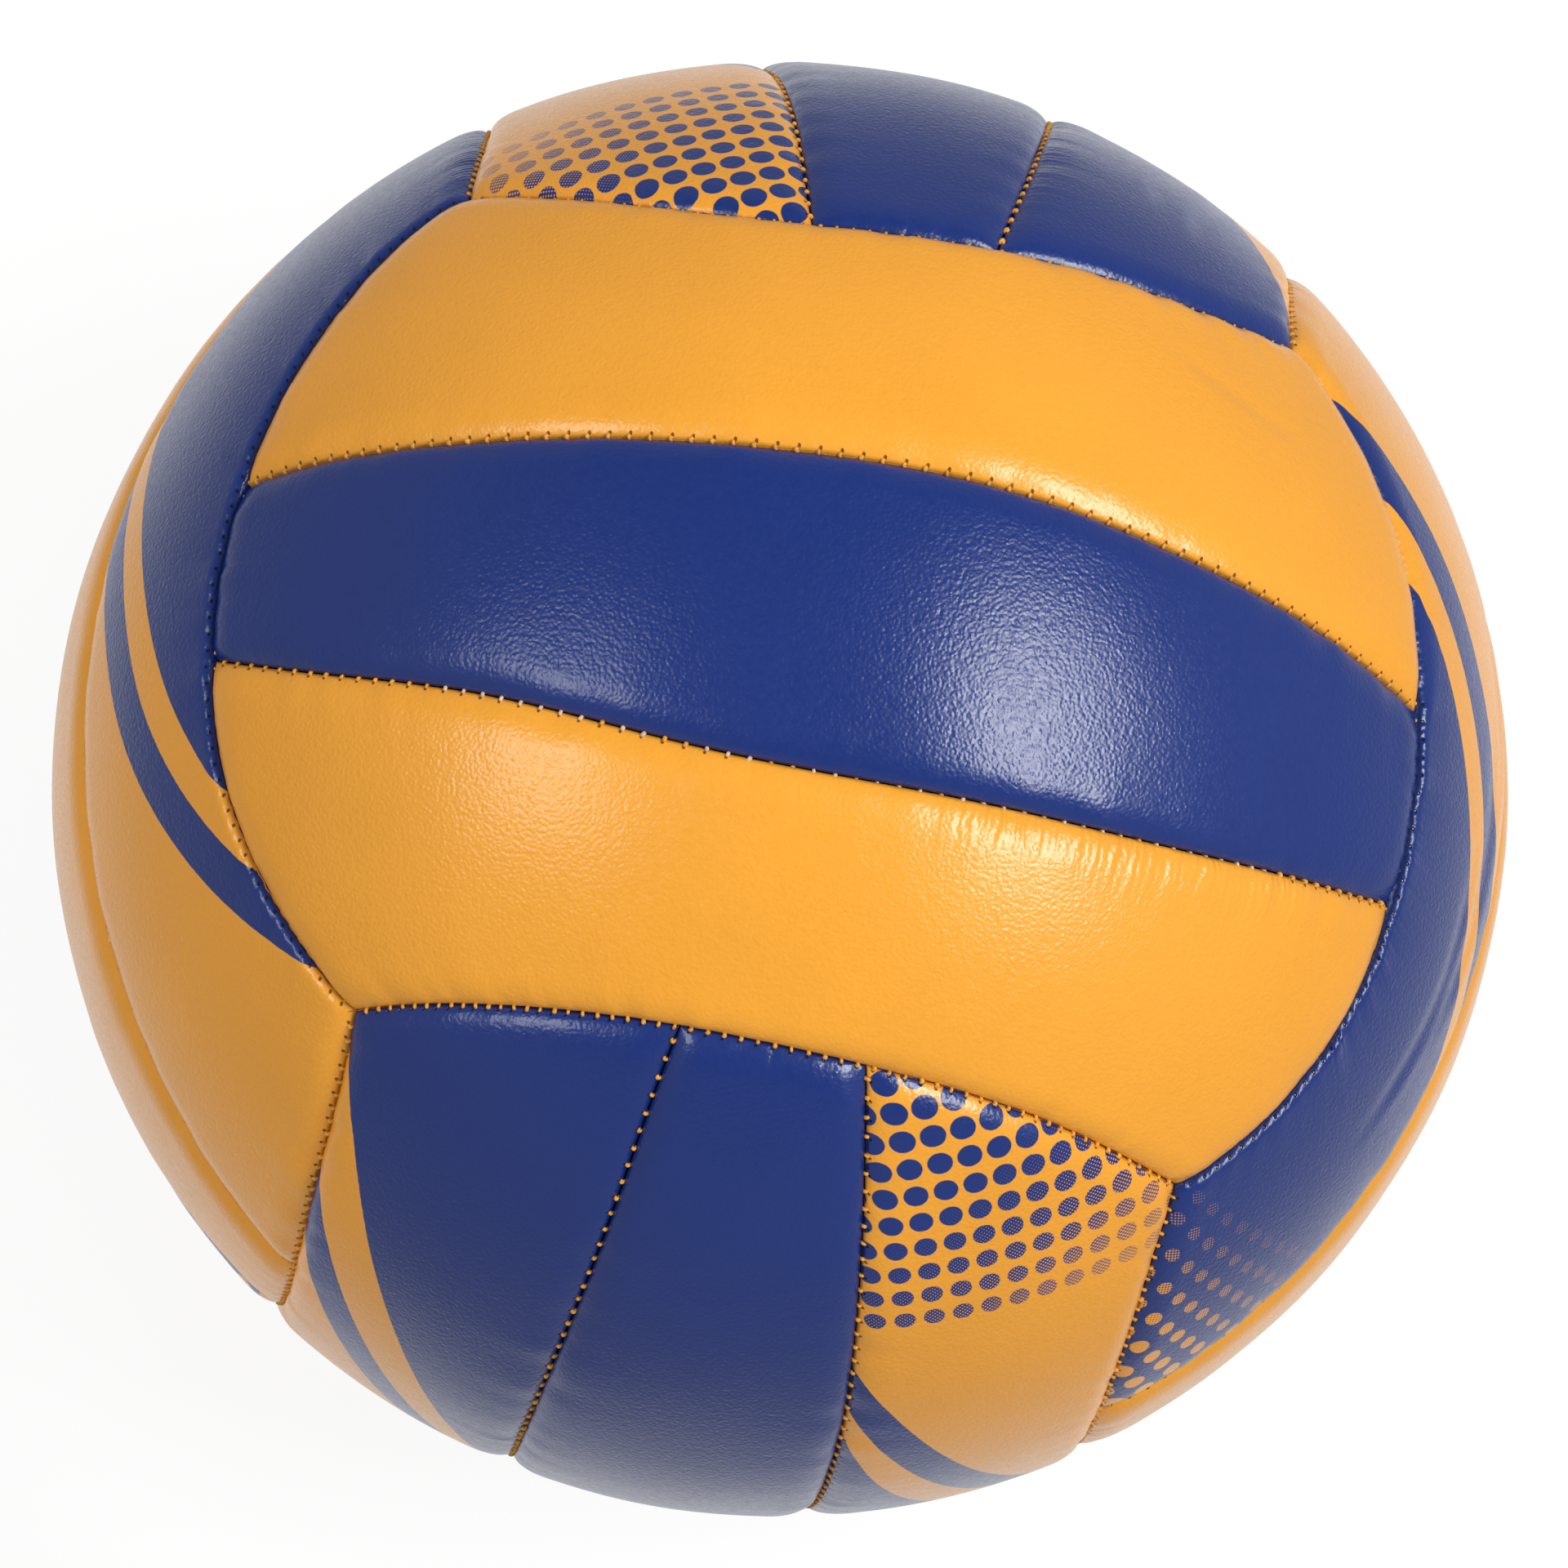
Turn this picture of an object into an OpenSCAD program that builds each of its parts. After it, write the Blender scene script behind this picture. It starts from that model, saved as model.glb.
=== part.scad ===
// Indoor volleyball, size 5, with eighteen sewn panels on a rubber bladder.
// Six faces of three strips each, and the strips of each face run across those of the next.
// The origin is the middle of the ball. The photographed side faces up, along +Z.

/* [Ball] */
// Diameter of the inflated ball over the crowns of its panels
ball_d = 210; // [205:0.5:216]
// Thickness of the coated outer skin
skin_t = 1.1; // [0.7:0.1:1.4]
// Thickness of the foam pad with its cloth, under the skin
pad_t = 3.3; // [3:0.1:6]
// Thickness to which a pad is pressed at its sewn edge
pad_edge_t = 0.3; // [0.2:0.05:0.5]
// Depth of the flat that the ball's own weight makes where it rests
rest_flat = 0.5; // [0.2:0.05:1]

/* [Panels] */
// Angle from the middle of a face to the middle of its long side
side_angle = 34; // [32:0.25:35]
// Angle from the middle of a face to the edge of its middle strip
strip_angle = 12.2; // [10:0.1:14]
// Depth to which the panel edges are drawn in by the sewing
seam_depth = 2.1; // [1:0.1:2.6]
// Width over which an edge rolls down into its seam
roll_w = 6.4; // [6:0.1:9]
// Gap left between two panels down a seam
seam_gap = 0.2; // [0.2:0.02:0.3]
// Diameter of the sewing thread lying in the seams
thread_d = 0.9; // [0.5:0.05:1]

/* [Valve] */
// Diameter of the hole that takes the inflating needle
needle_d = 1.9; // [1.4:0.1:2.4]
// Diameter of the valve stem that shows in the cover
stem_d = 9; // [8:0.1:12]
// Depth of the stem's face below the skin
stem_recess = 0.6; // [0.2:0.1:1]
// Diameter of the flange that is bonded to the bladder
flange_d = 26; // [20:0.5:32]
// Thickness of the flange
flange_t = 1.3; // [0.8:0.1:1.8]
// Length of the valve barrel inside the bladder
barrel_l = 11; // [9:0.5:16]
// Wall of the housing round its core
valve_wall = 1.2; // [0.8:0.1:1.6]
// Diameter of the rubber core that seals round the needle
core_d = 5; // [4:0.1:6]
// Diameter of the collar that keeps the core in its housing
collar_d = 6.4; // [6.2:0.1:7]
// Height of that collar
collar_h = 2; // [1.5:0.1:3]

/* [Bladder] */
// Thickness of the bladder wall
bladder_t = 0.9; // [0.6:0.1:1.4]
// Diameter of the patch that strengthens the bladder at the valve
patch_d = 36; // [30:0.5:44]
// Thickness of that patch
patch_t = 0.8; // [0.5:0.1:1.4]

/* [Fits] */
// Clearance between pieces that lie against each other
fit = 0.06; // [0.04:0.01:0.1]
// Clearance round the valve where it passes through the cover
hole_fit = 0.3; // [0.15:0.05:0.5]
// Distance between the end of a thread and the next seam
thread_end = 3; // [2:0.5:6]

/* [Hidden] */
ball_r = ball_d / 2;
wall_r = ball_r - skin_t - pad_t;
bladder_r = wall_r - fit;
cut_r = 2 * ball_r;

// The face corners lie where three faces of a cube meet, this far along each axis
corner = 1 / sqrt(3);

// A long side is a circle through two corners, so its axis leans from the next face
lean_a = corner - sin(side_angle);
lean_b = cos(side_angle) - corner;
lean = atan2(lean_a, lean_b);
side_cos = corner * (lean_a + lean_b) / norm([lean_a, lean_b]);
side_cone = acos(side_cos);
side_reach = asin(corner / sin(side_cone));

// A strip seam is a great circle, and it ends on the circle of the next face's long side
strip_slope = tan(strip_angle);
end_sum = corner * (lean_a + lean_b);
end_gain = (1 + pow(strip_slope, 2)) / pow(lean_b, 2);
end_a = 1 + end_gain * pow(lean_a, 2);
end_b = end_gain * end_sum * lean_a;
end_c = end_gain * pow(end_sum, 2) - 1;
strip_reach = asin((end_b + sqrt(pow(end_b, 2) - end_a * end_c)) / end_a);

// A strip seam meets the face's end at this angle along the end's circle
end_joint = asin(sin(strip_angle) * cos(strip_reach) / sin(side_cone));

// Lines of a panel's grid, along it and across it, with some of them on the rolled edge
grid_n = 16;
grid_m = 8;
roll_shares = [0.3, 1];

// Angle between two grid lines along a panel, and the radii that keep its straight edges clear
roll_angle = roll_w / ball_r * 180 / PI;
along_step = (90 - side_angle - roll_angle) / (grid_n / 2 - len(roll_shares));
rim_r = wall_r / cos(along_step / 2);
pad_r = rim_r + pad_edge_t;

// The thread lies in the groove at the height where the two rolls leave it room
thread_half = thread_d / 2 + seam_gap;
thread_rise = seam_depth * sqrt(1 - pow(1 - thread_half / roll_w, 2));
thread_r = ball_r - seam_depth + thread_rise;

// The valve runs along its panel's own middle line, from the skin into the bladder
stem_top = ball_r - stem_recess;
barrel_d = collar_d + 2 * valve_wall;
barrel_end = bladder_r - barrel_l;
core_floor = barrel_end + valve_wall;
core_top = stem_top - stem_recess;
floor_hole_d = (core_d + needle_d) / 2;
collar_z = bladder_r - barrel_l / 2;

// Colours of the pieces
skin_orange = [0.95, 0.65, 0.20];
skin_blue = [0.12, 0.21, 0.50];
foam_white = [0.90, 0.89, 0.86];
thread_orange = [0.90, 0.55, 0.20];
bladder_black = [0.10, 0.10, 0.11];
patch_grey = [0.25, 0.25, 0.26];
valve_rubber = [0.16, 0.16, 0.17];
core_rubber = [0.55, 0.50, 0.42];

// Faces are counted along the axes, and the near one of each pair points along the plus side
Z_FACE = 0;
X_FACE = 1;
Y_FACE = 2;

$fn = 96;
wall_fn = 180;

// Turns a piece drawn for the face along +Z, with strips along X, onto another face
module on_face(axis, far = false) {
  rotate(a = 120 * axis, v = [1, 1, 1]) rotate([far ? 180 : 0, 0, 0]) children();
}

// A direction on the circle of one seam, at an angle from the middle of the seam
function seam_direction(axis, middle, across, cone, angle) =
  cos(cone) * axis + sin(cone) * (cos(angle) * middle + sin(angle) * across);

// The long side of a face, the end of a face, and the seam of its middle strip
function long_side(angle) =
  seam_direction([0, cos(lean), sin(lean)], [0, -sin(lean), cos(lean)], [1, 0, 0], side_cone, angle);
function face_end(side, angle) =
  seam_direction([side * sin(lean), 0, cos(lean)], [side * cos(lean), 0, -sin(lean)], [0, 1, 0], side_cone, angle);
function strip_seam(side, angle) =
  seam_direction([0, 0, 0], [0, side * sin(strip_angle), cos(strip_angle)], [1, 0, 0], 90, angle);

// The four sides of a panel, by the share of the way along it from -1 to 1 or across it from 0 to 1
function near_side(outer, along) = strip_seam(outer ? 1 : -1, along * strip_reach);
function far_side(outer, along) = outer ? long_side(along * side_reach) : strip_seam(1, along * strip_reach);
function end_side(outer, end, across) =
  face_end(end, outer ? end_joint + across * (side_reach - end_joint) : (2 * across - 1) * end_joint);

// The direction of a point inside a panel, blended from its four sides
function panel_direction(outer, along, across) =
  let (
    share = (along + 1) / 2,
    sides = (1 - across) * near_side(outer, along) + across * far_side(outer, along),
    ends = (1 - share) * end_side(outer, -1, across) + share * end_side(outer, 1, across),
    near_corners = (1 - share) * near_side(outer, -1) + share * near_side(outer, 1),
    far_corners = (1 - share) * far_side(outer, -1) + share * far_side(outer, 1),
    p = sides + ends - (1 - across) * near_corners - across * far_corners
  )
  p / norm(p);

// Distance from the nearer edge to grid line i of n, on a panel of the given length
function line_distance(i, n, length, edge) =
  let (
    k = min(i, n - i),
    rolled = len(roll_shares),
    inner = (length / 2 - roll_w) / (n / 2 - rolled)
  )
  k == 0 ? edge : k <= rolled ? roll_shares[k - 1] * roll_w : roll_w + (k - rolled) * inner;

// The same line as a share of the length, counted from the first edge
function line_share(i, n, length, edge) =
  let (d = line_distance(i, n, length, edge)) (i <= n / 2 ? d : length - d) / length;

// How far an edge has risen to the crown, from 0 in the seam to 1
function rise(distance) = sqrt(1 - pow(1 - min(distance / roll_w, 1), 2));

// Chords stand in for the lengths across and along a panel
function across_length(outer, along) =
  ball_r * norm(far_side(outer, along) - near_side(outer, along));
function along_length(outer, across) =
  2 * asin(norm(end_side(outer, 1, across) - end_side(outer, -1, across)) / 2) * ball_r * PI / 180;

// One point of a panel's grid, whose edge lines lie at their own distance and radius
function grid_point(outer, i, j, edge, inset, edge_r) =
  let (
    plain_along = 2 * line_share(i, grid_n, along_length(outer, 0.5), 0) - 1,
    plain_across = line_share(j, grid_m, across_length(outer, 0), 0),
    length = along_length(outer, plain_across),
    width = across_length(outer, plain_along),
    along = 2 * line_share(i, grid_n, length, edge) - 1,
    across = line_share(j, grid_m, width, edge),
    risen = rise(line_distance(i, grid_n, length, edge)) * rise(line_distance(j, grid_m, width, edge)),
    on_edge = i == 0 || i == grid_n || j == 0 || j == grid_m,
    r = on_edge && edge_r > 0 ? edge_r : ball_r - inset - seam_depth * (1 - risen)
  )
  r * panel_direction(outer, along, across);

// The lines of a skin's grid, and of a pad's, which has none between its edge and the end of the roll
function skin_lines(n) = [for (i = [0 : n]) i];
function pad_lines(n) = concat([0], [for (i = [2 : n - 2]) i], [n]);

// All points of a grid, on the lines chosen along the panel and across it
function grid_points(outer, along_lines, across_lines, edge, inset, edge_r) =
  [for (i = along_lines, j = across_lines) grid_point(outer, i, j, edge, inset, edge_r)];

// The same directions brought to one radius
function at_radius(points, r) = [for (p = points) p * r / norm(p)];

// Four-cornered faces of a grid, with its first point at an offset in the list
function grid_faces(n, m, offset, flip) = [
  for (i = [0 : n - 1], j = [0 : m - 1])
    let (a = offset + i * (m + 1) + j, b = a + m + 1)
    each (flip ? [[a, b, b + 1], [a, b + 1, a + 1]] : [[a, b + 1, b], [a, a + 1, b + 1]])
];

// The edge of a grid as one closed ring of places in its list
function grid_ring(n, m) = concat(
  [for (j = [0 : m - 1]) j],
  [for (i = [0 : n - 1]) i * (m + 1) + m],
  [for (j = [m : -1 : 1]) n * (m + 1) + j],
  [for (i = [n : -1 : 1]) i * (m + 1)]
);

// Faces that join two like rings of points
function ring_faces(upper, lower) = [
  for (k = [0 : len(upper) - 1])
    let (q = (k + 1) % len(upper))
    each [[upper[k], lower[k], lower[q]], [upper[k], lower[q], upper[q]]]
];

// A panel's skin: a rolled outer face, a face under it, and edges turned in round the pad
module skin_form(outer) {
  along_lines = skin_lines(grid_n);
  across_lines = skin_lines(grid_m);
  top = grid_points(outer, along_lines, across_lines, seam_gap / 2, 0, 0);
  under = grid_points(outer, along_lines, across_lines, seam_gap / 2 + skin_t, skin_t, rim_r);
  ring = grid_ring(grid_n, grid_m);
  rim = at_radius([for (k = ring) top[k]], rim_r);
  rim_ring = [for (k = [0 : len(ring) - 1]) len(top) + len(under) + k];
  under_ring = [for (k = ring) len(top) + k];
  polyhedron(
    points = concat(top, under, rim),
    faces = concat(
      grid_faces(grid_n, grid_m, 0, false),
      grid_faces(grid_n, grid_m, len(top), true),
      ring_faces(ring, rim_ring),
      ring_faces(rim_ring, under_ring)
    ),
    convexity = 6
  );
}

// A panel's pad: it fills the skin, thins out to its sewn edge and lies round the bladder.
// It is drawn down to the middle of the ball, and a sphere then takes away all but the pad.
module pad_form(outer) {
  edge = roll_shares[0] * roll_w + fit;
  along_lines = pad_lines(grid_n);
  across_lines = pad_lines(grid_m);
  top = grid_points(outer, along_lines, across_lines, edge, skin_t + fit, pad_r);
  n = len(along_lines) - 1;
  m = len(across_lines) - 1;
  ring = grid_ring(n, m);
  middle = len(top);
  difference() {
    polyhedron(
      points = concat(top, [[0, 0, 0]]),
      faces = concat(
        grid_faces(n, m, 0, false),
        [for (k = [0 : len(ring) - 1]) [ring[k], middle, ring[(k + 1) % len(ring)]]]
      ),
      convexity = 6
    );
    sphere(wall_r, $fn = wall_fn);
  }
}

// Puts a form on its row of the face: -1, 0 or 1
module in_row(row) {
  mirror([0, row < 0 ? 1 : 0, 0]) children();
}

// A bore along the panel's middle line, from one radius out to another
module bore(d, from, to) {
  translate([0, 0, from]) cylinder(d = d, h = to - from);
}

// The skin of one panel, turned in round the edges of its pad
module cover_panel(axis, far, row, colour, valve = false, flat = false) {
  color(colour) on_face(axis, far) difference() {
    in_row(row) skin_form(row != 0);
    if (valve) bore(stem_d + 2 * hole_fit, wall_r - pad_t, cut_r);
    if (flat) translate([-ball_r, -ball_r, ball_r - rest_flat]) cube([ball_d, ball_d, ball_r]);
  }
}

// The foam pad of one panel, inside its skin
module foam_pad(axis, far, row, valve = false) {
  color(foam_white) on_face(axis, far) difference() {
    in_row(row) pad_form(row != 0);
    if (valve) {
      bore(stem_d + 2 * hole_fit, wall_r - pad_t, cut_r);
      intersection() {
        sphere(wall_r + flange_t + fit);
        bore(flange_d + 2 * hole_fit, 0, cut_r);
      }
    }
  }
}

// One run of thread along a seam, up to a reach on each side of the seam's middle
module thread_run(polar, azimuth, cone, reach) {
  circle_r = thread_r * sin(cone);
  part = reach - thread_end / circle_r * 180 / PI;
  rotate([0, polar, azimuth]) rotate([0, 0, 180 - part]) rotate_extrude(angle = 2 * part)
    translate([circle_r, thread_r * cos(cone)]) circle(d = thread_d, $fn = 24);
}

module seam_thread() {
  color(thread_orange)
    for (axis = [Z_FACE, X_FACE, Y_FACE], far = [false, true], side = [-90, 90])
      on_face(axis, far) {
        thread_run(90 - lean, side, side_cone, side_reach);
        thread_run(90 + strip_angle, side, 90, strip_reach);
      }
}

module on_valve() {
  on_face(Y_FACE) children();
}

module bladder() {
  color(bladder_black) on_valve() difference() {
    sphere(bladder_r);
    sphere(bladder_r - bladder_t);
    bore(barrel_d + 2 * fit, 0, cut_r);
  }
}

module bladder_patch() {
  patch_r = bladder_r - bladder_t - fit;
  color(patch_grey) on_valve() intersection() {
    difference() {
      sphere(patch_r);
      sphere(patch_r - patch_t);
      bore(barrel_d + 2 * fit, 0, cut_r);
    }
    bore(patch_d, 0, cut_r);
  }
}

// The flange lies on the bladder, with the stem going out and the barrel going in
module valve_housing() {
  color(valve_rubber) on_valve() difference() {
    union() {
      intersection() {
        difference() {
          sphere(bladder_r + flange_t);
          sphere(bladder_r + fit);
        }
        bore(flange_d, 0, cut_r);
      }
      bore(stem_d, bladder_r + fit + flange_t / 2, stem_top);
      bore(barrel_d, barrel_end, bladder_r + flange_t / 2);
    }
    bore(core_d + 2 * fit, core_floor, cut_r);
    bore(collar_d + 2 * fit, collar_z - collar_h / 2 - fit, collar_z + collar_h / 2 + fit);
    bore(floor_hole_d, 0, cut_r);
  }
}

module valve_core() {
  color(core_rubber) on_valve() difference() {
    union() {
      bore(core_d, core_floor + fit, core_top);
      bore(collar_d, collar_z - collar_h / 2, collar_z + collar_h / 2);
    }
    bore(needle_d, 0, cut_r);
  }
}

module top_middle_cover() { cover_panel(Z_FACE, false, 0, skin_blue); }
module top_back_cover() { cover_panel(Z_FACE, false, 1, skin_orange); }
module top_front_cover() { cover_panel(Z_FACE, false, -1, skin_orange); }
module bottom_middle_cover() { cover_panel(Z_FACE, true, 0, skin_blue, flat = true); }
module bottom_front_cover() { cover_panel(Z_FACE, true, 1, skin_orange); }
module bottom_back_cover() { cover_panel(Z_FACE, true, -1, skin_orange); }
module right_middle_cover() { cover_panel(X_FACE, false, 0, skin_orange); }
module right_upper_cover() { cover_panel(X_FACE, false, 1, skin_blue); }
module right_lower_cover() { cover_panel(X_FACE, false, -1, skin_blue); }
module left_middle_cover() { cover_panel(X_FACE, true, 0, skin_orange); }
module left_lower_cover() { cover_panel(X_FACE, true, 1, skin_blue); }
module left_upper_cover() { cover_panel(X_FACE, true, -1, skin_blue); }
module back_middle_cover() { cover_panel(Y_FACE, false, 0, skin_blue, valve = true); }
module back_right_cover() { cover_panel(Y_FACE, false, 1, skin_orange); }
module back_left_cover() { cover_panel(Y_FACE, false, -1, skin_orange); }
module front_middle_cover() { cover_panel(Y_FACE, true, 0, skin_blue); }
module front_left_cover() { cover_panel(Y_FACE, true, 1, skin_orange); }
module front_right_cover() { cover_panel(Y_FACE, true, -1, skin_orange); }
module top_middle_pad() { foam_pad(Z_FACE, false, 0); }
module top_back_pad() { foam_pad(Z_FACE, false, 1); }
module top_front_pad() { foam_pad(Z_FACE, false, -1); }
module bottom_middle_pad() { foam_pad(Z_FACE, true, 0); }
module bottom_front_pad() { foam_pad(Z_FACE, true, 1); }
module bottom_back_pad() { foam_pad(Z_FACE, true, -1); }
module right_middle_pad() { foam_pad(X_FACE, false, 0); }
module right_upper_pad() { foam_pad(X_FACE, false, 1); }
module right_lower_pad() { foam_pad(X_FACE, false, -1); }
module left_middle_pad() { foam_pad(X_FACE, true, 0); }
module left_lower_pad() { foam_pad(X_FACE, true, 1); }
module left_upper_pad() { foam_pad(X_FACE, true, -1); }
module back_middle_pad() { foam_pad(Y_FACE, false, 0, valve = true); }
module back_right_pad() { foam_pad(Y_FACE, false, 1); }
module back_left_pad() { foam_pad(Y_FACE, false, -1); }
module front_middle_pad() { foam_pad(Y_FACE, true, 0); }
module front_left_pad() { foam_pad(Y_FACE, true, 1); }
module front_right_pad() { foam_pad(Y_FACE, true, -1); }

top_middle_cover();
top_back_cover();
top_front_cover();
bottom_middle_cover();
bottom_front_cover();
bottom_back_cover();
right_middle_cover();
right_upper_cover();
right_lower_cover();
left_middle_cover();
left_lower_cover();
left_upper_cover();
back_middle_cover();
back_right_cover();
back_left_cover();
front_middle_cover();
front_left_cover();
front_right_cover();
top_middle_pad();
top_back_pad();
top_front_pad();
bottom_middle_pad();
bottom_front_pad();
bottom_back_pad();
right_middle_pad();
right_upper_pad();
right_lower_pad();
left_middle_pad();
left_lower_pad();
left_upper_pad();
back_middle_pad();
back_right_pad();
back_left_pad();
front_middle_pad();
front_left_pad();
front_right_pad();
seam_thread();
bladder();
bladder_patch();
valve_housing();
valve_core();
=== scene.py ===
import functools
import itertools
import math
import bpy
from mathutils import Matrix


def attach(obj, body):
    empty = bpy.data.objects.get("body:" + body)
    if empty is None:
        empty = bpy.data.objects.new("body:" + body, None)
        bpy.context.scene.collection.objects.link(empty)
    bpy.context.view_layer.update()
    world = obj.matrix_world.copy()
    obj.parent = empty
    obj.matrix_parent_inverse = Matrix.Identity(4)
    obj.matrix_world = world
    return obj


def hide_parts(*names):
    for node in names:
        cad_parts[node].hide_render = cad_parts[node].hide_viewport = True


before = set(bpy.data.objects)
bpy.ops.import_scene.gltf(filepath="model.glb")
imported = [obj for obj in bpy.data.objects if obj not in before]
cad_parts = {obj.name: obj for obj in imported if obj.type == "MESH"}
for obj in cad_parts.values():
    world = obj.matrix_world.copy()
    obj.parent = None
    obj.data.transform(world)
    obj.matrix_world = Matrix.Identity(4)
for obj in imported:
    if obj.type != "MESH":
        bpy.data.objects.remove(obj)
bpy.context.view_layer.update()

from types import SimpleNamespace

import bpy
import numpy as np
from bpy.props import FloatProperty, FloatVectorProperty, IntProperty, PointerProperty
from bpy.types import Operator, Panel, PropertyGroup
from mathutils import Matrix, Vector

bl_info = {
    "name": "Sewn Volleyball",
    "version": (1, 0, 0),
    "blender": (4, 5, 0),
    "location": "3D Viewport > Sidebar > Volleyball",
    "description": "Grained skins, foam pads, single stitches and finishes for the volleyball",
    "category": "Mesh",
}

MM = 0.001
BODY = "root"
# Radius in mm at which the print, the pulls and the unevenness are laid out
LAYOUT = 105


def linear(hex_colour):
    """The linear values of an sRGB hex colour."""
    parts = [int(hex_colour[k:k + 2], 16) / 255 for k in (0, 2, 4)]
    return tuple(c / 12.92 if c <= 0.04045 else ((c + 0.055) / 1.055) ** 2.4 for c in parts)


# The photograph's view: to the right, up and towards the camera
VIEW = np.array([(0.9820, 0.1549, 0.1079), (-0.1768, 0.9553, 0.2372), (-0.0664, -0.2520, 0.9655)])
VIEW /= np.linalg.norm(VIEW, axis=1, keepdims=True)
# Each panel: its face's axis, whether the face is the far one, its row and its base colour.
# Faces are counted along the axes: 0 along Z, 1 along X, 2 along Y.
PANELS = {
    "top_middle": (0, False, 0, "blue"),
    "top_back": (0, False, 1, "orange"),
    "top_front": (0, False, -1, "orange"),
    "bottom_middle": (0, True, 0, "blue"),
    "bottom_front": (0, True, 1, "orange"),
    "bottom_back": (0, True, -1, "orange"),
    "right_middle": (1, False, 0, "orange"),
    "right_upper": (1, False, 1, "blue"),
    "right_lower": (1, False, -1, "blue"),
    "left_middle": (1, True, 0, "orange"),
    "left_lower": (1, True, 1, "blue"),
    "left_upper": (1, True, -1, "blue"),
    "back_middle": (2, False, 0, "blue"),
    "back_right": (2, False, 1, "orange"),
    "back_left": (2, False, -1, "orange"),
    "front_middle": (2, True, 0, "blue"),
    "front_left": (2, True, 1, "orange"),
    "front_right": (2, True, -1, "orange"),
}

# Printed panels, with the end of the strip, 1 or -1 along its length, that the stripes run to
PRINTED = {
    "front_left": 1, "front_right": -1, "back_right": 1, "back_left": -1,
    "right_upper": 1, "right_lower": -1, "left_lower": 1, "left_upper": -1,
}
# Three lines between the stripes, in degrees across the panel: a start, a slope and a bend
STRIPES = {
    "orange": ((18.6, 0.42, -0.0006), (22.7, 0.50, -0.0029), (26.6, 0.489, -0.0044)),
    "blue": ((16.3, 0.47, 0.0), (20.3, 0.49, 0.0), (23.8, 0.53, -0.0013)),
}
# How far single points of the top face's seams were sewn off the even plan: the kind of seam, its
# row, the share along it, and the shift in mm to the right and up, as the camera sees it
PULLS = (
    ("strip", 1, -1.0, 0.8, 1.7), ("strip", 1, -0.5, 0.0, -0.3), ("strip", 1, 0.0, 0.0, -0.3),
    ("strip", 1, 0.55, 0.0, -1.3), ("strip", 1, 1.0, -2.3, 0.1),
    ("strip", -1, -1.0, 0.5, 1.2), ("strip", -1, -0.5, 0.0, 1.9), ("strip", -1, -0.1, 0.0, -0.9),
    ("strip", -1, 0.5, 0.0, -2.4), ("strip", -1, 1.0, -2.7, -3.0),
    ("side", 1, -1.0, -1.0, 1.2), ("side", 1, -0.05, -1.0, 1.0), ("side", 1, 0.35, 0.4, 1.6),
    ("side", 1, 1.0, -2.0, 1.2),
    ("side", -1, -1.0, 2.8, 1.6), ("side", -1, -0.25, -1.6, 0.9), ("side", -1, 0.2, -0.6, -0.3),
    ("side", -1, 1.0, -0.8, -1.6),
)
# How far in mm a pull draws the seams round it along
PULL_REACH = 30.0
# Every seam also drifts a little: how far in mm, over what length in mm, and its seed
DRIFT, DRIFT_LENGTH, DRIFT_SEED = 0.12, 46, 70
# Printed panels whose other end has no dots
NO_DOTS = ("left_upper", "right_lower")


class BallSizes(PropertyGroup):
    """Sizes of the panels and pads"""
    diameter: FloatProperty(
        name="Ball diameter", description="Across the crowns of the panels",
        default=0.210, unit="LENGTH")
    side_angle: FloatProperty(
        name="Long side angle", description="From the middle of a face to its long side",
        default=math.radians(34), subtype="ANGLE")
    strip_angle: FloatProperty(
        name="Strip angle", description="From the middle of a face to the edge of its middle strip",
        default=math.radians(12.2), subtype="ANGLE")
    seam_depth: FloatProperty(
        name="Seam depth", description="How far the sewing draws an edge in",
        default=0.0021, unit="LENGTH")
    roll_width: FloatProperty(
        name="Roll width", description="Width over which an edge rolls down into its seam",
        default=0.0056, unit="LENGTH")
    seam_gap: FloatProperty(
        name="Seam gap", description="Gap between two panels down a seam",
        default=0.0002, unit="LENGTH")
    skin_thickness: FloatProperty(
        name="Skin thickness", description="Thickness of the coated outer skin",
        default=0.0011, unit="LENGTH")
    pad_thickness: FloatProperty(
        name="Pad thickness", description="Thickness of the foam pad with its cloth",
        default=0.0033, unit="LENGTH")
    rest_flat: FloatProperty(
        name="Rest flat", description="Depth of the flat on which the ball rests",
        default=0.0005, unit="LENGTH")
    valve_hole: FloatProperty(
        name="Valve hole", description="Diameter of the hole round the valve stem",
        default=0.0096, unit="LENGTH")
    gather: FloatProperty(
        name="Gather", description="How deep the sewing puckers an edge",
        default=0.00016, unit="LENGTH")


class StitchSizes(PropertyGroup):
    """Sizes of the sewing"""
    thread: FloatProperty(
        name="Thread diameter", description="Diameter of the twisted sewing thread",
        default=0.00052, unit="LENGTH")
    strip_pitch: FloatProperty(
        name="Strip stitch", description="Length of a stitch between two strips of a face",
        default=0.0030, unit="LENGTH")
    side_pitch: FloatProperty(
        name="Side stitch", description="Length of a stitch between two faces",
        default=0.0023, unit="LENGTH")
    reach: FloatProperty(
        name="Stitch reach", description="From the seam to the needle hole",
        default=0.00042, unit="LENGTH")
    seed: IntProperty(name="Seed", description="Seed of the stitches' unevenness", default=11)


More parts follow.
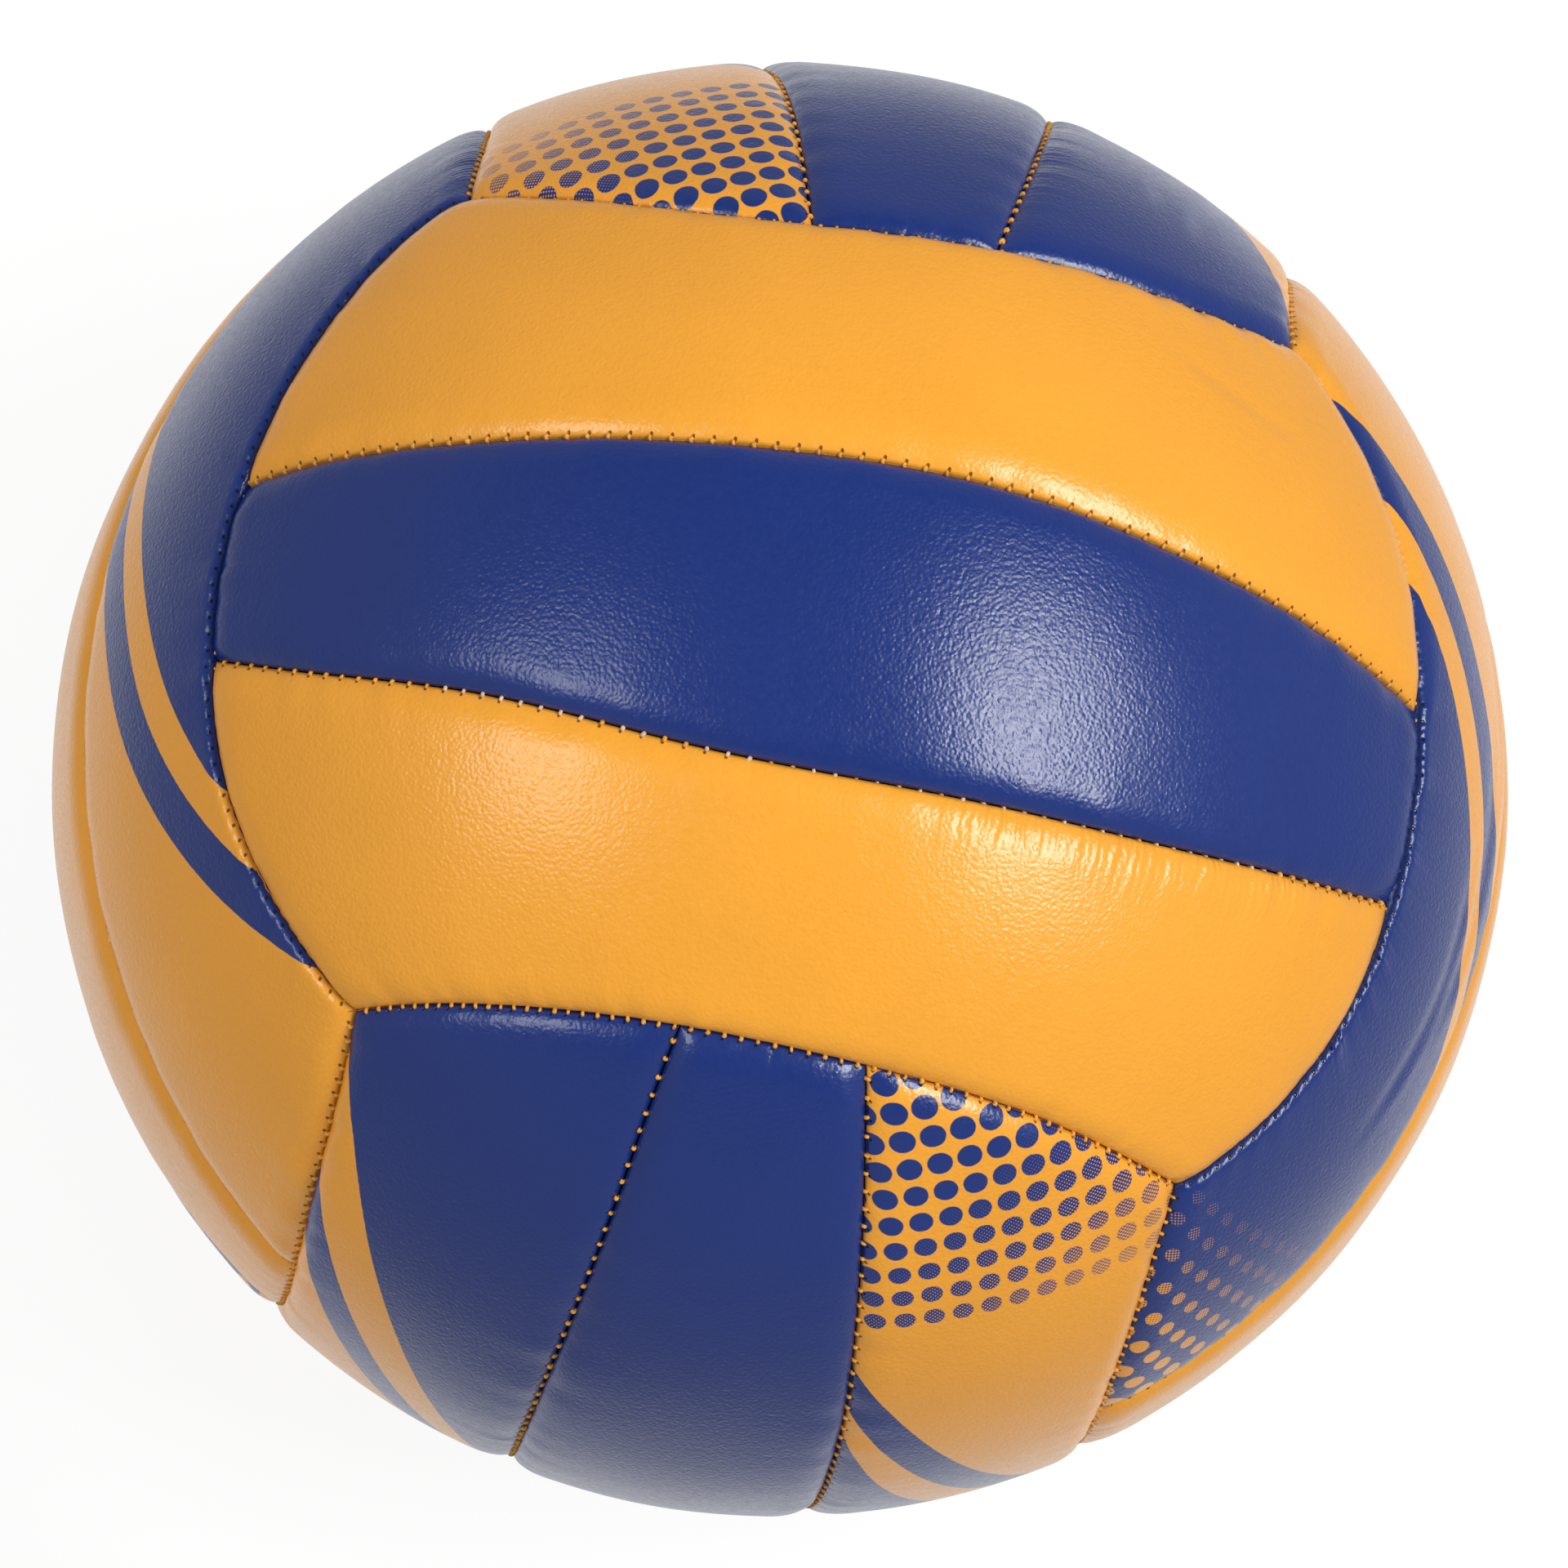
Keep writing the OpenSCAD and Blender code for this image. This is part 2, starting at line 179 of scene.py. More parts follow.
class BallColours(PropertyGroup):
    """Colours of the skins and the other pieces"""
    orange: FloatVectorProperty(
        name="Orange skin", description="Colour of the orange skin", subtype="COLOR",
        default=linear("F9A930"))
    blue: FloatVectorProperty(
        name="Blue skin", description="Colour of the blue skin", subtype="COLOR",
        default=linear("14307A"))
    thread: FloatVectorProperty(
        name="Thread", description="Colour of the sewing thread", subtype="COLOR",
        default=linear("F0A840"))
    foam: FloatVectorProperty(
        name="Foam", description="Colour of the foam pads", subtype="COLOR",
        default=linear("E6E2D8"))
    bladder: FloatVectorProperty(
        name="Bladder", description="Colour of the rubber bladder", subtype="COLOR",
        default=linear("1E1E20"))
    valve: FloatVectorProperty(
        name="Valve", description="Colour of the rubber valve", subtype="COLOR",
        default=linear("2A2A2D"))


class StageSettings(PropertyGroup):
    """Lights, floor and camera"""
    key_power: FloatProperty(
        name="Right lamp", description="Power of the lamp on the right", default=9.7, unit="POWER")
    fill_power: FloatProperty(
        name="Left lamp", description="Power of the lamp on the left", default=3.75, unit="POWER")
    sky: FloatProperty(
        name="Room light", description="Strength of the light from all round", default=0.475)
    lens: FloatProperty(
        name="Lens", description="Focal length of the camera in millimetres", default=266.8)
    distance: FloatProperty(
        name="Distance", description="From the camera to the middle of the ball",
        default=1.68, unit="LENGTH")


def unit(v):
    return v / np.linalg.norm(v, axis=-1, keepdims=True)


def seam_plan(sizes):
    """The seams' circles on a ball of radius 1, for a face along Z whose strips run along X.

    A long side and the next face's ends share one circle. It passes through the ball's corner,
    where three faces meet, and its cone leans away from the face.
    """
    corner = 1 / math.sqrt(3)
    lean_a = corner - math.sin(sizes.side_angle)
    lean_b = math.cos(sizes.side_angle) - corner
    side_cone = math.acos(corner * (lean_a + lean_b) / math.hypot(lean_a, lean_b))
    # The strip seam meets the face's end where a quadratic in the sine of its angle is zero
    end_sum = corner * (lean_a + lean_b)
    end_gain = (1 + math.tan(sizes.strip_angle) ** 2) / lean_b ** 2
    a = 1 + end_gain * lean_a ** 2
    b = end_gain * end_sum * lean_a
    c = end_gain * end_sum ** 2 - 1
    strip_reach = math.asin((b + math.sqrt(b * b - a * c)) / a)
    end_joint = math.asin(
        math.sin(sizes.strip_angle) * math.cos(strip_reach) / math.sin(side_cone))
    return SimpleNamespace(
        lean=math.atan2(lean_a, lean_b), side_cone=side_cone,
        side_reach=math.asin(corner / math.sin(side_cone)),
        strip=sizes.strip_angle, strip_reach=strip_reach, end_joint=end_joint)


def seam_direction(axis, middle, across, cone, angle):
    """Directions on a seam's circle, at angles from the middle of the seam."""
    angle = np.asarray(angle, float)[..., None]
    ring = np.cos(angle) * np.array(middle) + np.sin(angle) * np.array(across)
    return math.cos(cone) * np.array(axis) + math.sin(cone) * ring


def long_side(plan, angle):
    s, c = math.sin(plan.lean), math.cos(plan.lean)
    return seam_direction((0, c, s), (0, -s, c), (1, 0, 0), plan.side_cone, angle)


def face_end(plan, side, angle):
    s, c = math.sin(plan.lean), math.cos(plan.lean)
    return seam_direction((side * s, 0, c), (side * c, 0, -s), (0, 1, 0), plan.side_cone, angle)


def strip_seam(plan, side, angle):
    middle = (0, side * math.sin(plan.strip), math.cos(plan.strip))
    return seam_direction((0, 0, 0), middle, (1, 0, 0), math.pi / 2, angle)


def panel_sides(plan, outer, along, across):
    """The near, far, left and right edges of a panel, each at the shares asked for."""
    near = strip_seam(plan, 1 if outer else -1, along * plan.strip_reach)
    if outer:
        far = long_side(plan, along * plan.side_reach)
        angle = plan.end_joint + across * (plan.side_reach - plan.end_joint)
    else:
        far = strip_seam(plan, 1, along * plan.strip_reach)
        angle = (2 * across - 1) * plan.end_joint
    return near, far, face_end(plan, -1, angle), face_end(plan, 1, angle)


def panel_direction(plan, outer, along, across):
    """Directions inside a panel, blended from its four edges."""
    near, far, left, right = panel_sides(plan, outer, along, across)
    one = np.ones_like(along)
    near_l, far_l, _, _ = panel_sides(plan, outer, -one, across)
    near_r, far_r, _, _ = panel_sides(plan, outer, one, across)
    s, t = ((along + 1) / 2)[..., None], across[..., None]
    sides = (1 - t) * near + t * far
    ends = (1 - s) * left + s * right
    corners = (1 - t) * ((1 - s) * near_l + s * near_r) + t * ((1 - s) * far_l + s * far_r)
    return unit(sides + ends - corners)


def panel_lengths(plan, outer, along, across, radius):
    """A panel's length at its shares across, in arcs, and its width at those along, in chords."""
    near, far, left, right = panel_sides(plan, outer, along, across)
    width = radius * np.linalg.norm(far - near, axis=-1)
    half = np.linalg.norm(right - left, axis=-1) / 2
    return 2 * np.arcsin(half) * radius, width


# Width in mm of the zone beside a panel's edges where the grid is finer
ZONE = 7.0


def line_distances(count, zone_lines, edge, length):
    """Distances of grid lines from the nearer edge, closest together on the rolled edge."""
    k = np.minimum(np.arange(count + 1), count - np.arange(count + 1)).astype(float)
    inner = (length / 2 - ZONE) / (count / 2 - zone_lines)
    rolled = edge + (ZONE - edge) * (np.minimum(k, zone_lines) / zone_lines) ** 1.5
    return rolled + np.maximum(k - zone_lines, 0) * inner


def line_shares(distances, length):
    """Shares of a length, from 0 to 1, at distances from its nearer end."""
    count = distances.shape[-1] - 1
    first = np.arange(count + 1) <= count / 2
    return np.where(first, distances, length - distances) / length


def panel_grid(plan, outer, radius, counts, zones, edge):
    """Shares along and across of a grid whose outer lines keep their distance from the edges."""
    n, m = counts
    middle, zero = np.array([0.5]), np.array([0.0])
    length, _ = panel_lengths(plan, outer, zero, middle, radius)
    _, width = panel_lengths(plan, outer, zero, zero, radius)
    d_along = line_distances(n, zones[0], edge, length[0])
    d_across = line_distances(m, zones[1], edge, width[0])
    along = np.repeat((2 * line_shares(d_along, length[0]) - 1)[:, None], m + 1, 1)
    across = np.repeat(line_shares(d_across, width[0])[None], n + 1, 0)
    for _ in range(3):
        length, width = panel_lengths(plan, outer, along, across, radius)
        end_d = np.stack([line_distances(n, zones[0], edge, v) for v in length[n // 2]], 1)
        side_d = np.stack([line_distances(m, zones[1], edge, v) for v in width[:, m // 2]], 0)
        share = np.stack([line_shares(end_d[:, j], length[n // 2, j]) for j in range(m + 1)], 1)
        along = 2 * share - 1
        across = np.stack([line_shares(side_d[i], width[i, m // 2]) for i in range(n + 1)], 0)
    return along, across, end_d, side_d


def rise(distance, roll):
    """How far an edge has risen to the crown, from 0 in the seam to 1."""
    return np.sqrt(1 - (1 - np.clip(distance / roll, 0, 1)) ** 2)


def waves(points, length, seed, count=14):
    """Smooth noise, mostly from -1 to 1, at points in mm and with about the given wavelength."""
    draw = np.random.default_rng(seed)
    heading = unit(draw.normal(size=(count, 3)))
    pitch = length * draw.uniform(0.7, 1.5, count)
    phase = draw.uniform(0, 2 * math.pi, count)
    total = np.zeros(points.shape[:-1])
    for k in range(count):
        total += np.sin(points @ heading[k] * (2 * math.pi / pitch[k]) + phase[k])
    return total / math.sqrt(count) * 0.9


@functools.cache
def pull_field():
    """Centres of the pulls on a ball of radius 1, and the weight of each that gives its shift."""
    plan = seam_plan(settings().sizes)
    centres, shifts = [], []
    for kind, row, share, right, up in PULLS:
        if kind == "strip":
            line = strip_seam(plan, 1, share * plan.strip_reach)
        else:
            line = long_side(plan, share * plan.side_reach)
        centre = to_face(line, 0, False, row)
        flat = right * VIEW[0] + up * VIEW[1]
        centres.append(centre)
        # The shift lies in the ball's surface, and looks right and up as asked to the camera
        shifts.append(flat - VIEW[2] * (flat @ centre) / (VIEW[2] @ centre))
    centres = np.array(centres)
    return centres, np.linalg.solve(pull_weight(centres, centres), np.array(shifts))


def pull_weight(points, centres):
    """How much each pull's centre counts at points on a ball of radius 1."""
    away = np.linalg.norm(points[..., None, :] - centres, axis=-1) * LAYOUT / PULL_REACH
    return np.exp(-away ** 2)


def swayed(points):
    """Points moved sideways along the ball a little, as hand-guided seams wander."""
    radius = np.linalg.norm(points, axis=-1, keepdims=True)
    centres, weights = pull_field()
    shift = pull_weight(points / radius, centres) @ weights
    drift = [waves(points / radius * LAYOUT, DRIFT_LENGTH, DRIFT_SEED + k) for k in range(3)]
    shift += np.stack(drift, -1) * DRIFT
    return unit(points / radius * LAYOUT + shift) * radius


def to_face(points, axis, far, row):
    """Points of the panel drawn for the face along Z, brought to their own face and row."""
    x, y, z = points[..., 0], points[..., 1], points[..., 2]
    if row < 0:
        y = -y
    if far:
        y, z = -y, -z
    return np.roll(np.stack([x, y, z], -1), axis, -1)


# From the last stitch to the end of its seam, in metres
BARE_END = 0.0022


def stitch_counts(plan, sizes, stitches):
    """Stitches on half of a strip seam and half of a long side, and the angles that they fill."""
    radius = sizes.diameter / 2
    found = []
    for reach, cone, pitch in (
        (plan.strip_reach, math.pi / 2, stitches.strip_pitch),
        (plan.side_reach, plan.side_cone, stitches.side_pitch),
    ):
        ring = radius * math.sin(cone)
        part = reach - BARE_END / ring
        found.append((round(part * ring / pitch), part))
    return found


def new_mesh_object(name, points, faces, material, layers=None):
    """A smooth mesh object at the origin, from points in millimetres."""
    mesh = bpy.data.meshes.new(name)
    mesh.from_pydata((points * MM).tolist(), [], faces)
    mesh.update()
    mesh.polygons.foreach_set("use_smooth", [True] * len(mesh.polygons))
    for key, values in (layers or {}).items():
        flat = values.ndim == 1
        layer = mesh.attributes.new(key, "FLOAT" if flat else "FLOAT_VECTOR", "POINT")
        layer.data.foreach_set("value" if flat else "vector", values.astype(np.float32).ravel())
    mesh.materials.append(material)
    obj = bpy.data.objects.new(name, mesh)
    bpy.context.scene.collection.objects.link(obj)
    return obj


def grid_quads(n, m, flip):
    """The faces of a grid of n by m cells."""
    i, j = np.meshgrid(np.arange(n), np.arange(m), indexing="ij")
    a = (i * (m + 1) + j).ravel()
    b = a + m + 1
    return np.stack([a, a + 1, b + 1, b] if flip else [a, b, b + 1, a + 1], 1)


def grid_ring(n, m):
    """The places (i, j) round the edge of a grid, once round."""
    return (
        [(i, 0) for i in range(n)] + [(n, j) for j in range(m)]
        + [(i, m) for i in range(n, 0, -1)] + [(0, j) for j in range(m, 0, -1)]
    )


# The strip seam where glue has come up: its panel, and the shares along it where the thread turns
# pale, where it sinks too, and where both end
GLUED = "top_front"
GLUED_SHARES = (-0.62, -0.12, 0.72)
# How deep in mm the glued thread sinks, and how much deeper its loose stitches do
GLUED_SUNK, LOOSE_SUNK = 0.34, 0.3
# How deep in mm the hidden sewing sinks, on the top and bottom faces' long sides and on the others
HIDDEN_SUNK = (0.34, 0.3)
PALE = 0.7
# Long sides, by face axis and row, whose thread lies low between the rolls
HIDDEN_SEWING = ((0, 1), (1, 1), (1, -1))
# Folds seen on single panels: panel, start and end as shares along and across, and the width and
# depth in mm
FOLDS = (
    ("right_upper", (0.25, 0.30), (-0.35, 0.36), 2.2, 0.30),
    ("right_upper", (0.05, 0.42), (-0.55, 0.47), 1.8, 0.24),
    ("right_upper", (0.38, 0.20), (0.02, 0.24), 1.6, 0.20),
    ("back_right", (0.80, 0.55), (0.35, 0.64), 1.8, 0.22),
    ("back_right", (0.72, 0.38), (0.40, 0.45), 1.5, 0.16),
    ("top_back", (0.80, 0.55), (0.45, 0.72), 1.6, 0.12),
    ("bottom_front", (0.30, 0.30), (-0.30, 0.38), 2.0, 0.20),
    ("left_lower", (0.60, 0.35), (0.15, 0.42), 1.8, 0.20),
)
# Edges sewn with extra gathers: panel, edge, its stretch along and how deep, against the usual
GATHERS = (
    ("top_front", "near", 0.10, 0.85, 2.4),
    ("right_upper", "far", -0.6, 0.6, 1.6),
    ("left_upper", "end", 0.2, 0.9, 1.8),
    ("back_right", "near", 0.3, 0.9, 1.6),
    ("bottom_back", "near", -0.7, 0.2, 2.0),
)
# Height of a pucker in mm where the gathers are twice as deep as usual, and its pitch in mm
PUCKER, PUCKER_PITCH = 0.13, 3.1
# The crown's slow swell: its height, the length of its waves and its fade near the edge, in mm
SWELL, SWELL_LENGTH, SWELL_FADE = 0.10, 34, 8
# How deep in mm a stitch draws the roll in, on a usual and on a tight edge, and how far in it does
DRAW, TIGHT_DRAW, DRAW_FADE = 0.05, 0.22, 1.2
# The cut edge's unevenness in mm: its height, the length of its waves and its fade
CUT, CUT_LENGTH, CUT_FADE = 0.05, 2.6, 0.7
# Depth in mm to which the top and bottom faces' ends are drawn in, beside the tight edges
END_DEPTH = 1.35
# The rows of dots, by base colour: the origin of p and q in mm along the tilted rows, and the cell
# numbers both ways as 1, p, q, p * p, p * q and q * q times these. The orange panels' rows bend a
# little, as the printed sheet stretched over the ball.
DOT_CELLS = {
    "orange": ((-62, 59.4), (3.250, -0.2064, -0.0019, 0.00013, 0.00076, -0.00069),
               (4.264, 0.0097, 0.2332, 0.00067, 0.00006, -0.00015)),
    "blue": ((-68, 60), (3.87, -0.2, -0.0045), (-1.12, -0.02, 0.2154)),
}
DOT_TILT = math.radians(20)
# The pitch of the dots in mm, both ways, and that of the mesh into which a fading dot breaks up
DOT_PITCH = (4.9, 4.4)
MESH_PITCH = 0.7
NO_DOT = -1.0
# Panels whose far long edge is drawn tight over its seam: the width and depth of its roll in mm,
# and the share along it where that ends, as the edge then lies under the next panel's
ALL_TIGHT, NO_TIGHT = 2.0, -2.0
TIGHT = {"right_upper": (1.5, 1.25, 0.27), "left_upper": (1.7, 1.4, ALL_TIGHT)}
TIGHT_FADE = 0.12


def relief(name, plan, outer, roll, grid, directions, sizes, stitches):
    """Height in mm of a panel's outer face against its crown: rolls, scallops, gathers and folds.

    Also gives the stitch numbers along its edges, and how strongly each edge is creased.
    """
    along, across, end_d, side_d = grid
    depth = sizes.seam_depth / MM
    ball = directions * LAYOUT
    tight_roll, tight_depth, tight_end = TIGHT.get(name, (roll, depth, NO_TIGHT))
    tight = np.clip((tight_end - along) / TIGHT_FADE, 0, 1) * (across > 0.5)
    side_roll = roll + (tight_roll - roll) * tight
    end_fall = (depth if PANELS[name][0] else END_DEPTH) * (1 - rise(end_d, roll))
    side_fall = (depth + (tight_depth - depth) * tight) * (1 - rise(side_d, side_roll))
    height = end_fall * side_fall / depth - end_fall - side_fall
    height += SWELL * waves(ball, SWELL_LENGTH, 5) * np.clip(
        np.minimum(end_d, side_d) / SWELL_FADE, 0, 1)

    # Each stitch draws the roll in, and the cut edge is uneven
    side_phase, end_phase = seam_phases(plan, outer, along, across, sizes, stitches)
    for phase, d, draw in (
        (side_phase, side_d, DRAW + (TIGHT_DRAW - DRAW) * tight), (end_phase, end_d, DRAW),
    ):
        near_stitch = 0.5 + 0.5 * np.cos(2 * math.pi * phase)
        height -= draw * near_stitch * np.exp(-(d / DRAW_FADE) ** 2)
        height += CUT * waves(ball, CUT_LENGTH, 31) * np.exp(-(d / CUT_FADE) ** 2)

    # Short gathers run in from the seams, and deep puckers stand a stitch apart
    gathers, creases = gathered(name, along, across, side_d, end_d)
    height += sizes.gather / MM * gathers[0] + PUCKER * gathers[1]
    for panel, start, end, width, deep in FOLDS:
        if panel == name:
            height -= deep * fold_shape(plan, outer, directions, start, end, width)
    return height, side_phase, end_phase, creases


def gathered(name, along, across, side_d, end_d):
    """Fine gathers and deep puckers of a panel's long edges and ends, and where they are deep."""
    strength_side, strength_end = np.ones(along.shape), np.ones(along.shape)
    for panel, edge, start, stop, gain in GATHERS:
        if panel != name:
            continue
        where, soft = (across, 0.1) if edge == "end" else (along, 0.08)
        inside = np.clip((where - start) / soft, 0, 1) * np.clip((stop - where) / soft, 0, 1)
        if edge == "end":
            strength_end += (gain - 1) * inside * (along > 0)
        else:
            half = across < 0.5 if edge == "near" else across >= 0.5
            strength_side += (gain - 1) * inside * half
    fine_sum, pucker_sum, creases = 0, 0, []
    for d, where, strength, seed in (
        (side_d, along * 100, strength_side, 21), (end_d, across * 40, strength_end, 22),
    ):
        # A place in mm along the edge, far from those along the other edges
        line = np.stack([where, np.sign(along - 0.01) * 30, (across > 0.5) * 50.0], -1)
        own = seed + len(name)
        fine = waves(line, 6.5, own) + 0.6 * waves(line, 12, own + 7)
        fine_sum = fine_sum + strength * fine * edge_fade(d, 0.5, 3.6)
        swell = (strength - 1) * np.clip(0.9 + 0.4 * waves(line, 11, seed + 2), 0.4, 1.2)
        swell *= edge_fade(d, 0.35, 2.6)
        turn = 2 * math.pi * where / PUCKER_PITCH + 1.3 * waves(line, 15, seed + 4)
        pucker_sum = pucker_sum + swell * np.sin(turn)
        creases.append(swell)
    return (fine_sum, pucker_sum), creases


def edge_fade(distance, start, reach):
    """A share that grows from 0 at the very edge and fades away past its reach, both in mm."""
    return np.exp(-(distance / reach)) * (1 - np.exp(-(distance / start)))


def fold_shape(plan, outer, directions, start, end, width):
    """A crease from start to end: a narrow valley with a soft lip, fading out at both ends."""
    shares = np.array([start, end])
    ends = panel_direction(plan, outer, shares[:, 0], shares[:, 1]) * LAYOUT
    run = ends[1] - ends[0]
    length = np.linalg.norm(run)
    rel = directions * LAYOUT - ends[0]
    t = rel @ run / length ** 2
    bow = 0.05 * length * np.sin(np.clip(t, 0, 1) * math.pi)
    side = unit(np.cross(ends.mean(0), run))
    off = (rel @ side - bow) / width
    fade = np.clip(t / 0.25, 0, 1) * np.clip((1 - t) / 0.25, 0, 1)
    return (np.exp(-off ** 2) - 0.45 * np.exp(-(off - 1.7) ** 2)) * fade ** 1.5


def seam_phases(plan, outer, along, across, sizes, stitches):
    """Stitch numbers along a panel's long edges and along its ends, whole at each stitch."""
    (strips, strip_part), (sides, side_part) = stitch_counts(plan, sizes, stitches)
    near = along * plan.strip_reach / strip_part * strips
    far = along * plan.side_reach / side_part * sides if outer else near
    if outer:
        angle = plan.end_joint + across * (plan.side_reach - plan.end_joint)
    else:
        angle = (2 * across - 1) * plan.end_joint
    return np.where(across < 0.5, near, far), angle / side_part * sides


def print_layers(name, base, directions):
    """Where the printed stripes and dots lie on a panel, in millimetres along its surface."""
    x, y, z = directions[..., 0], directions[..., 1], directions[..., 2]
    along = PRINTED[name] * np.degrees(np.arctan2(x, z))
    beta = np.degrees(np.arcsin(y))
    mm = math.radians(1) * LAYOUT
    bands = [(beta - (c + b * along + a * along ** 2)) * mm for c, b, a in STRIPES[base]]
    s, w = along * mm, beta * mm
    origin, terms_u, terms_v = DOT_CELLS[base]
    p = s * math.cos(DOT_TILT) + w * math.sin(DOT_TILT) - origin[0]
    q = -s * math.sin(DOT_TILT) + w * math.cos(DOT_TILT) - origin[1]
    powers = (1, p, q, p * p, p * q, q * q)
    cell_u = sum(share * power for share, power in zip(terms_u, powers))
    cell_v = sum(share * power for share, power in zip(terms_v, powers))
    # The dots' radius in mm and their cover of ink: both fall away from the first column
    if base == "orange":
        radius = np.where(cell_u > -0.5, 1.6 + 0.042 * cell_u, NO_DOT)
        cover = np.clip(0.72 + 0.075 * cell_u - 0.045 * (cell_v - 1), 0.25, 1)
    else:
        radius = np.where(cell_u > 0.5, 1.22 + 0.12 * np.clip(cell_u - 4, 0, 5), NO_DOT)
        cover = np.clip(cell_u / 7, 0, 1) ** 1.3
    if name in NO_DOTS:
        radius = np.full(radius.shape, NO_DOT)
    bands = np.stack(bands, -1)
    dots = np.stack([cell_u, cell_v, radius], -1)
    return {"bands": bands.reshape(-1, 3), "dots": dots.reshape(-1, 3), "ink": cover.ravel()}


# A skin's grid, how many of its lines lie on a rolled edge, and how far its turned-in edge reaches
# below the pad's outer face, in mm
SKIN_CELLS, SKIN_ZONES = (300, 88), (16, 15)
TURN_IN = 0.25
# Lines of that grid kept on the underside's rolled edges
UNDER_LINES = (0, 6, 11)
# The edge distance, stitch distance and phase given to points that the material isn't to mark
FAR_OFF = 99.0


def kept_lines(count, zone, first, last, step):
    """The grid lines kept on a skin's underside: those of its rolled edges, and a few between."""
    near = (*UNDER_LINES, zone)
    return sorted({*near, *(count - k for k in near), *range(first, count - last, step)})


def make_skin(name, plan, sizes, stitches, material):
    """One closed skin: a rolled outer face, edges turned in round the pad, a plain underside."""
    axis, far, row, base = PANELS[name]
    outer = row != 0
    radius = sizes.diameter / 2 / MM
    skin = sizes.skin_thickness / MM
    n, m = SKIN_CELLS
    edge = sizes.seam_gap / MM / 2
    rim = radius - skin - sizes.pad_thickness / MM + TURN_IN
    grid = panel_grid(plan, outer, radius, SKIN_CELLS, SKIN_ZONES, edge)
    directions = panel_direction(plan, outer, grid[0], grid[1])
    height, *sewn = relief(
        name, plan, outer, sizes.roll_width / MM, grid, directions, sizes, stitches)
    top = directions * (radius + height)[..., None]

    # The underside keeps only some of the lines, and all points of the turned-in edge
    ring = grid_ring(n, m)
    inset = panel_grid(plan, outer, radius, SKIN_CELLS, SKIN_ZONES, edge + skin)
    under = panel_direction(plan, outer, inset[0], inset[1])
    rows = kept_lines(n, SKIN_ZONES[0], first=28, last=20, step=12)
    columns = kept_lines(m, SKIN_ZONES[1], first=22, last=16, step=7)
    inside = list(itertools.product(rows[1:-1], columns[1:-1]))
    points = np.concatenate([
        top.reshape(-1, 3),
        directions[tuple(zip(*ring))] * rim,
        under[tuple(zip(*ring))] * rim,
        np.array([under[p] * (radius + height[p] - skin) for p in inside]),
    ])
    count = len(ring)
    ring_top = [i * (m + 1) + j for i, j in ring]
    rim_outer = range((n + 1) * (m + 1), (n + 1) * (m + 1) + count)
    place = {p: rim_outer[-1] + 1 + k for k, p in enumerate([*ring, *inside])}

    # Faces of the top, of the turned-in edge and of the underside
    faces = grid_quads(n, m, False).tolist()
    inner_ring = [place[p] for p in ring]
    for k in range(count):
        q = (k + 1) % count
        faces.append([ring_top[k], rim_outer[k], rim_outer[q], ring_top[q]])
        faces.append([rim_outer[k], inner_ring[k], inner_ring[q], rim_outer[q]])
    for i0, i1 in zip(rows, rows[1:]):
        for j0, j1 in zip(columns, columns[1:]):
            left = [(i0, j) for j in (range(j0, j1) if i0 == 0 else (j0,))]
            high = [(i, j1) for i in (range(i0, i1) if j1 == m else (i0,))]
            right = [(i1, j) for j in (range(j1, j0, -1) if i1 == n else (j1,))]
            low = [(i, j0) for i in (range(i1, i0, -1) if j0 == 0 else (i1,))]
            faces.append([place[p] for p in left + high + right + low])

    layers = skin_layers(name, grid, *sewn)
    if name in PRINTED:
        layers.update(print_layers(name, base, directions))
    extra = len(points) - top.size // 3
    for key, values in layers.items():
        unmarked = np.full((extra,) + values.shape[1:], NO_DOT if key == "dots" else FAR_OFF)
        if key in ("side_sewing", "end_sewing"):
            unmarked[:, 2] = 0.0
        layers[key] = np.concatenate([values, unmarked])
    points = swayed(to_face(points, axis, far, row))
    if name == "bottom_middle":
        points[:, 2] = np.maximum(points[:, 2], -radius + sizes.rest_flat / MM)
    if row < 0:
        faces = [f[::-1] for f in faces]
    return new_mesh_object("Skin_" + name, points, faces, material, layers)


def skin_layers(name, grid, side_phase, end_phase, creases):
    """What the skin's material reads: distance from the edge in mm, and for each kind of seam its
    stitch number, the distance in mm of its needle holes and how creased the skin is."""
    axis, far, row, _ = PANELS[name]
    along, across, end_d, side_d = grid
    glued = (name == GLUED) & (along > GLUED_SHARES[1]) & (along < GLUED_SHARES[2])
    side_holes = np.where((across < 0.5) & (row != 0) & ~glued, side_d, FAR_OFF)
    end_holes = end_d if axis == 1 or far and axis else np.full(end_d.shape, FAR_OFF)
    # Where a tight edge ends, its holes lie hidden
    holes_end = TIGHT.get(name, (0, 0, ALL_TIGHT))[2] - TIGHT_FADE / 3
    long_holes = (axis == 1) & (across > 0.5) & (side_d < end_d) & (along < holes_end)
    end_holes = np.where(long_holes, side_d, end_holes)
    end_phase = np.where(long_holes, side_phase, end_phase)
    return {
        "edge": np.minimum(end_d, side_d).ravel(),
        "side_sewing": np.stack([side_phase, side_holes, creases[0]], -1).reshape(-1, 3),
        "end_sewing": np.stack([end_phase, end_holes, creases[1]], -1).reshape(-1, 3),
    }


# A pad's grid, how many of its lines lie near an edge, and how far it stays from the seam in mm
PAD_CELLS, PAD_ZONES, PAD_INSET = (96, 36), (8, 8), 1.98
# A pad's roll is wider than its skin's, and starts before its edge, in mm
PAD_ROLL, PAD_START = 0.6, 0.12
# From the skin's inner face to the pad, from the bladder's wall to the pad, and the thinnest that
# its edge is pressed, in mm
PAD_GAP, PAD_LIFT, PAD_EDGE = 0.24, 0.02, 0.25
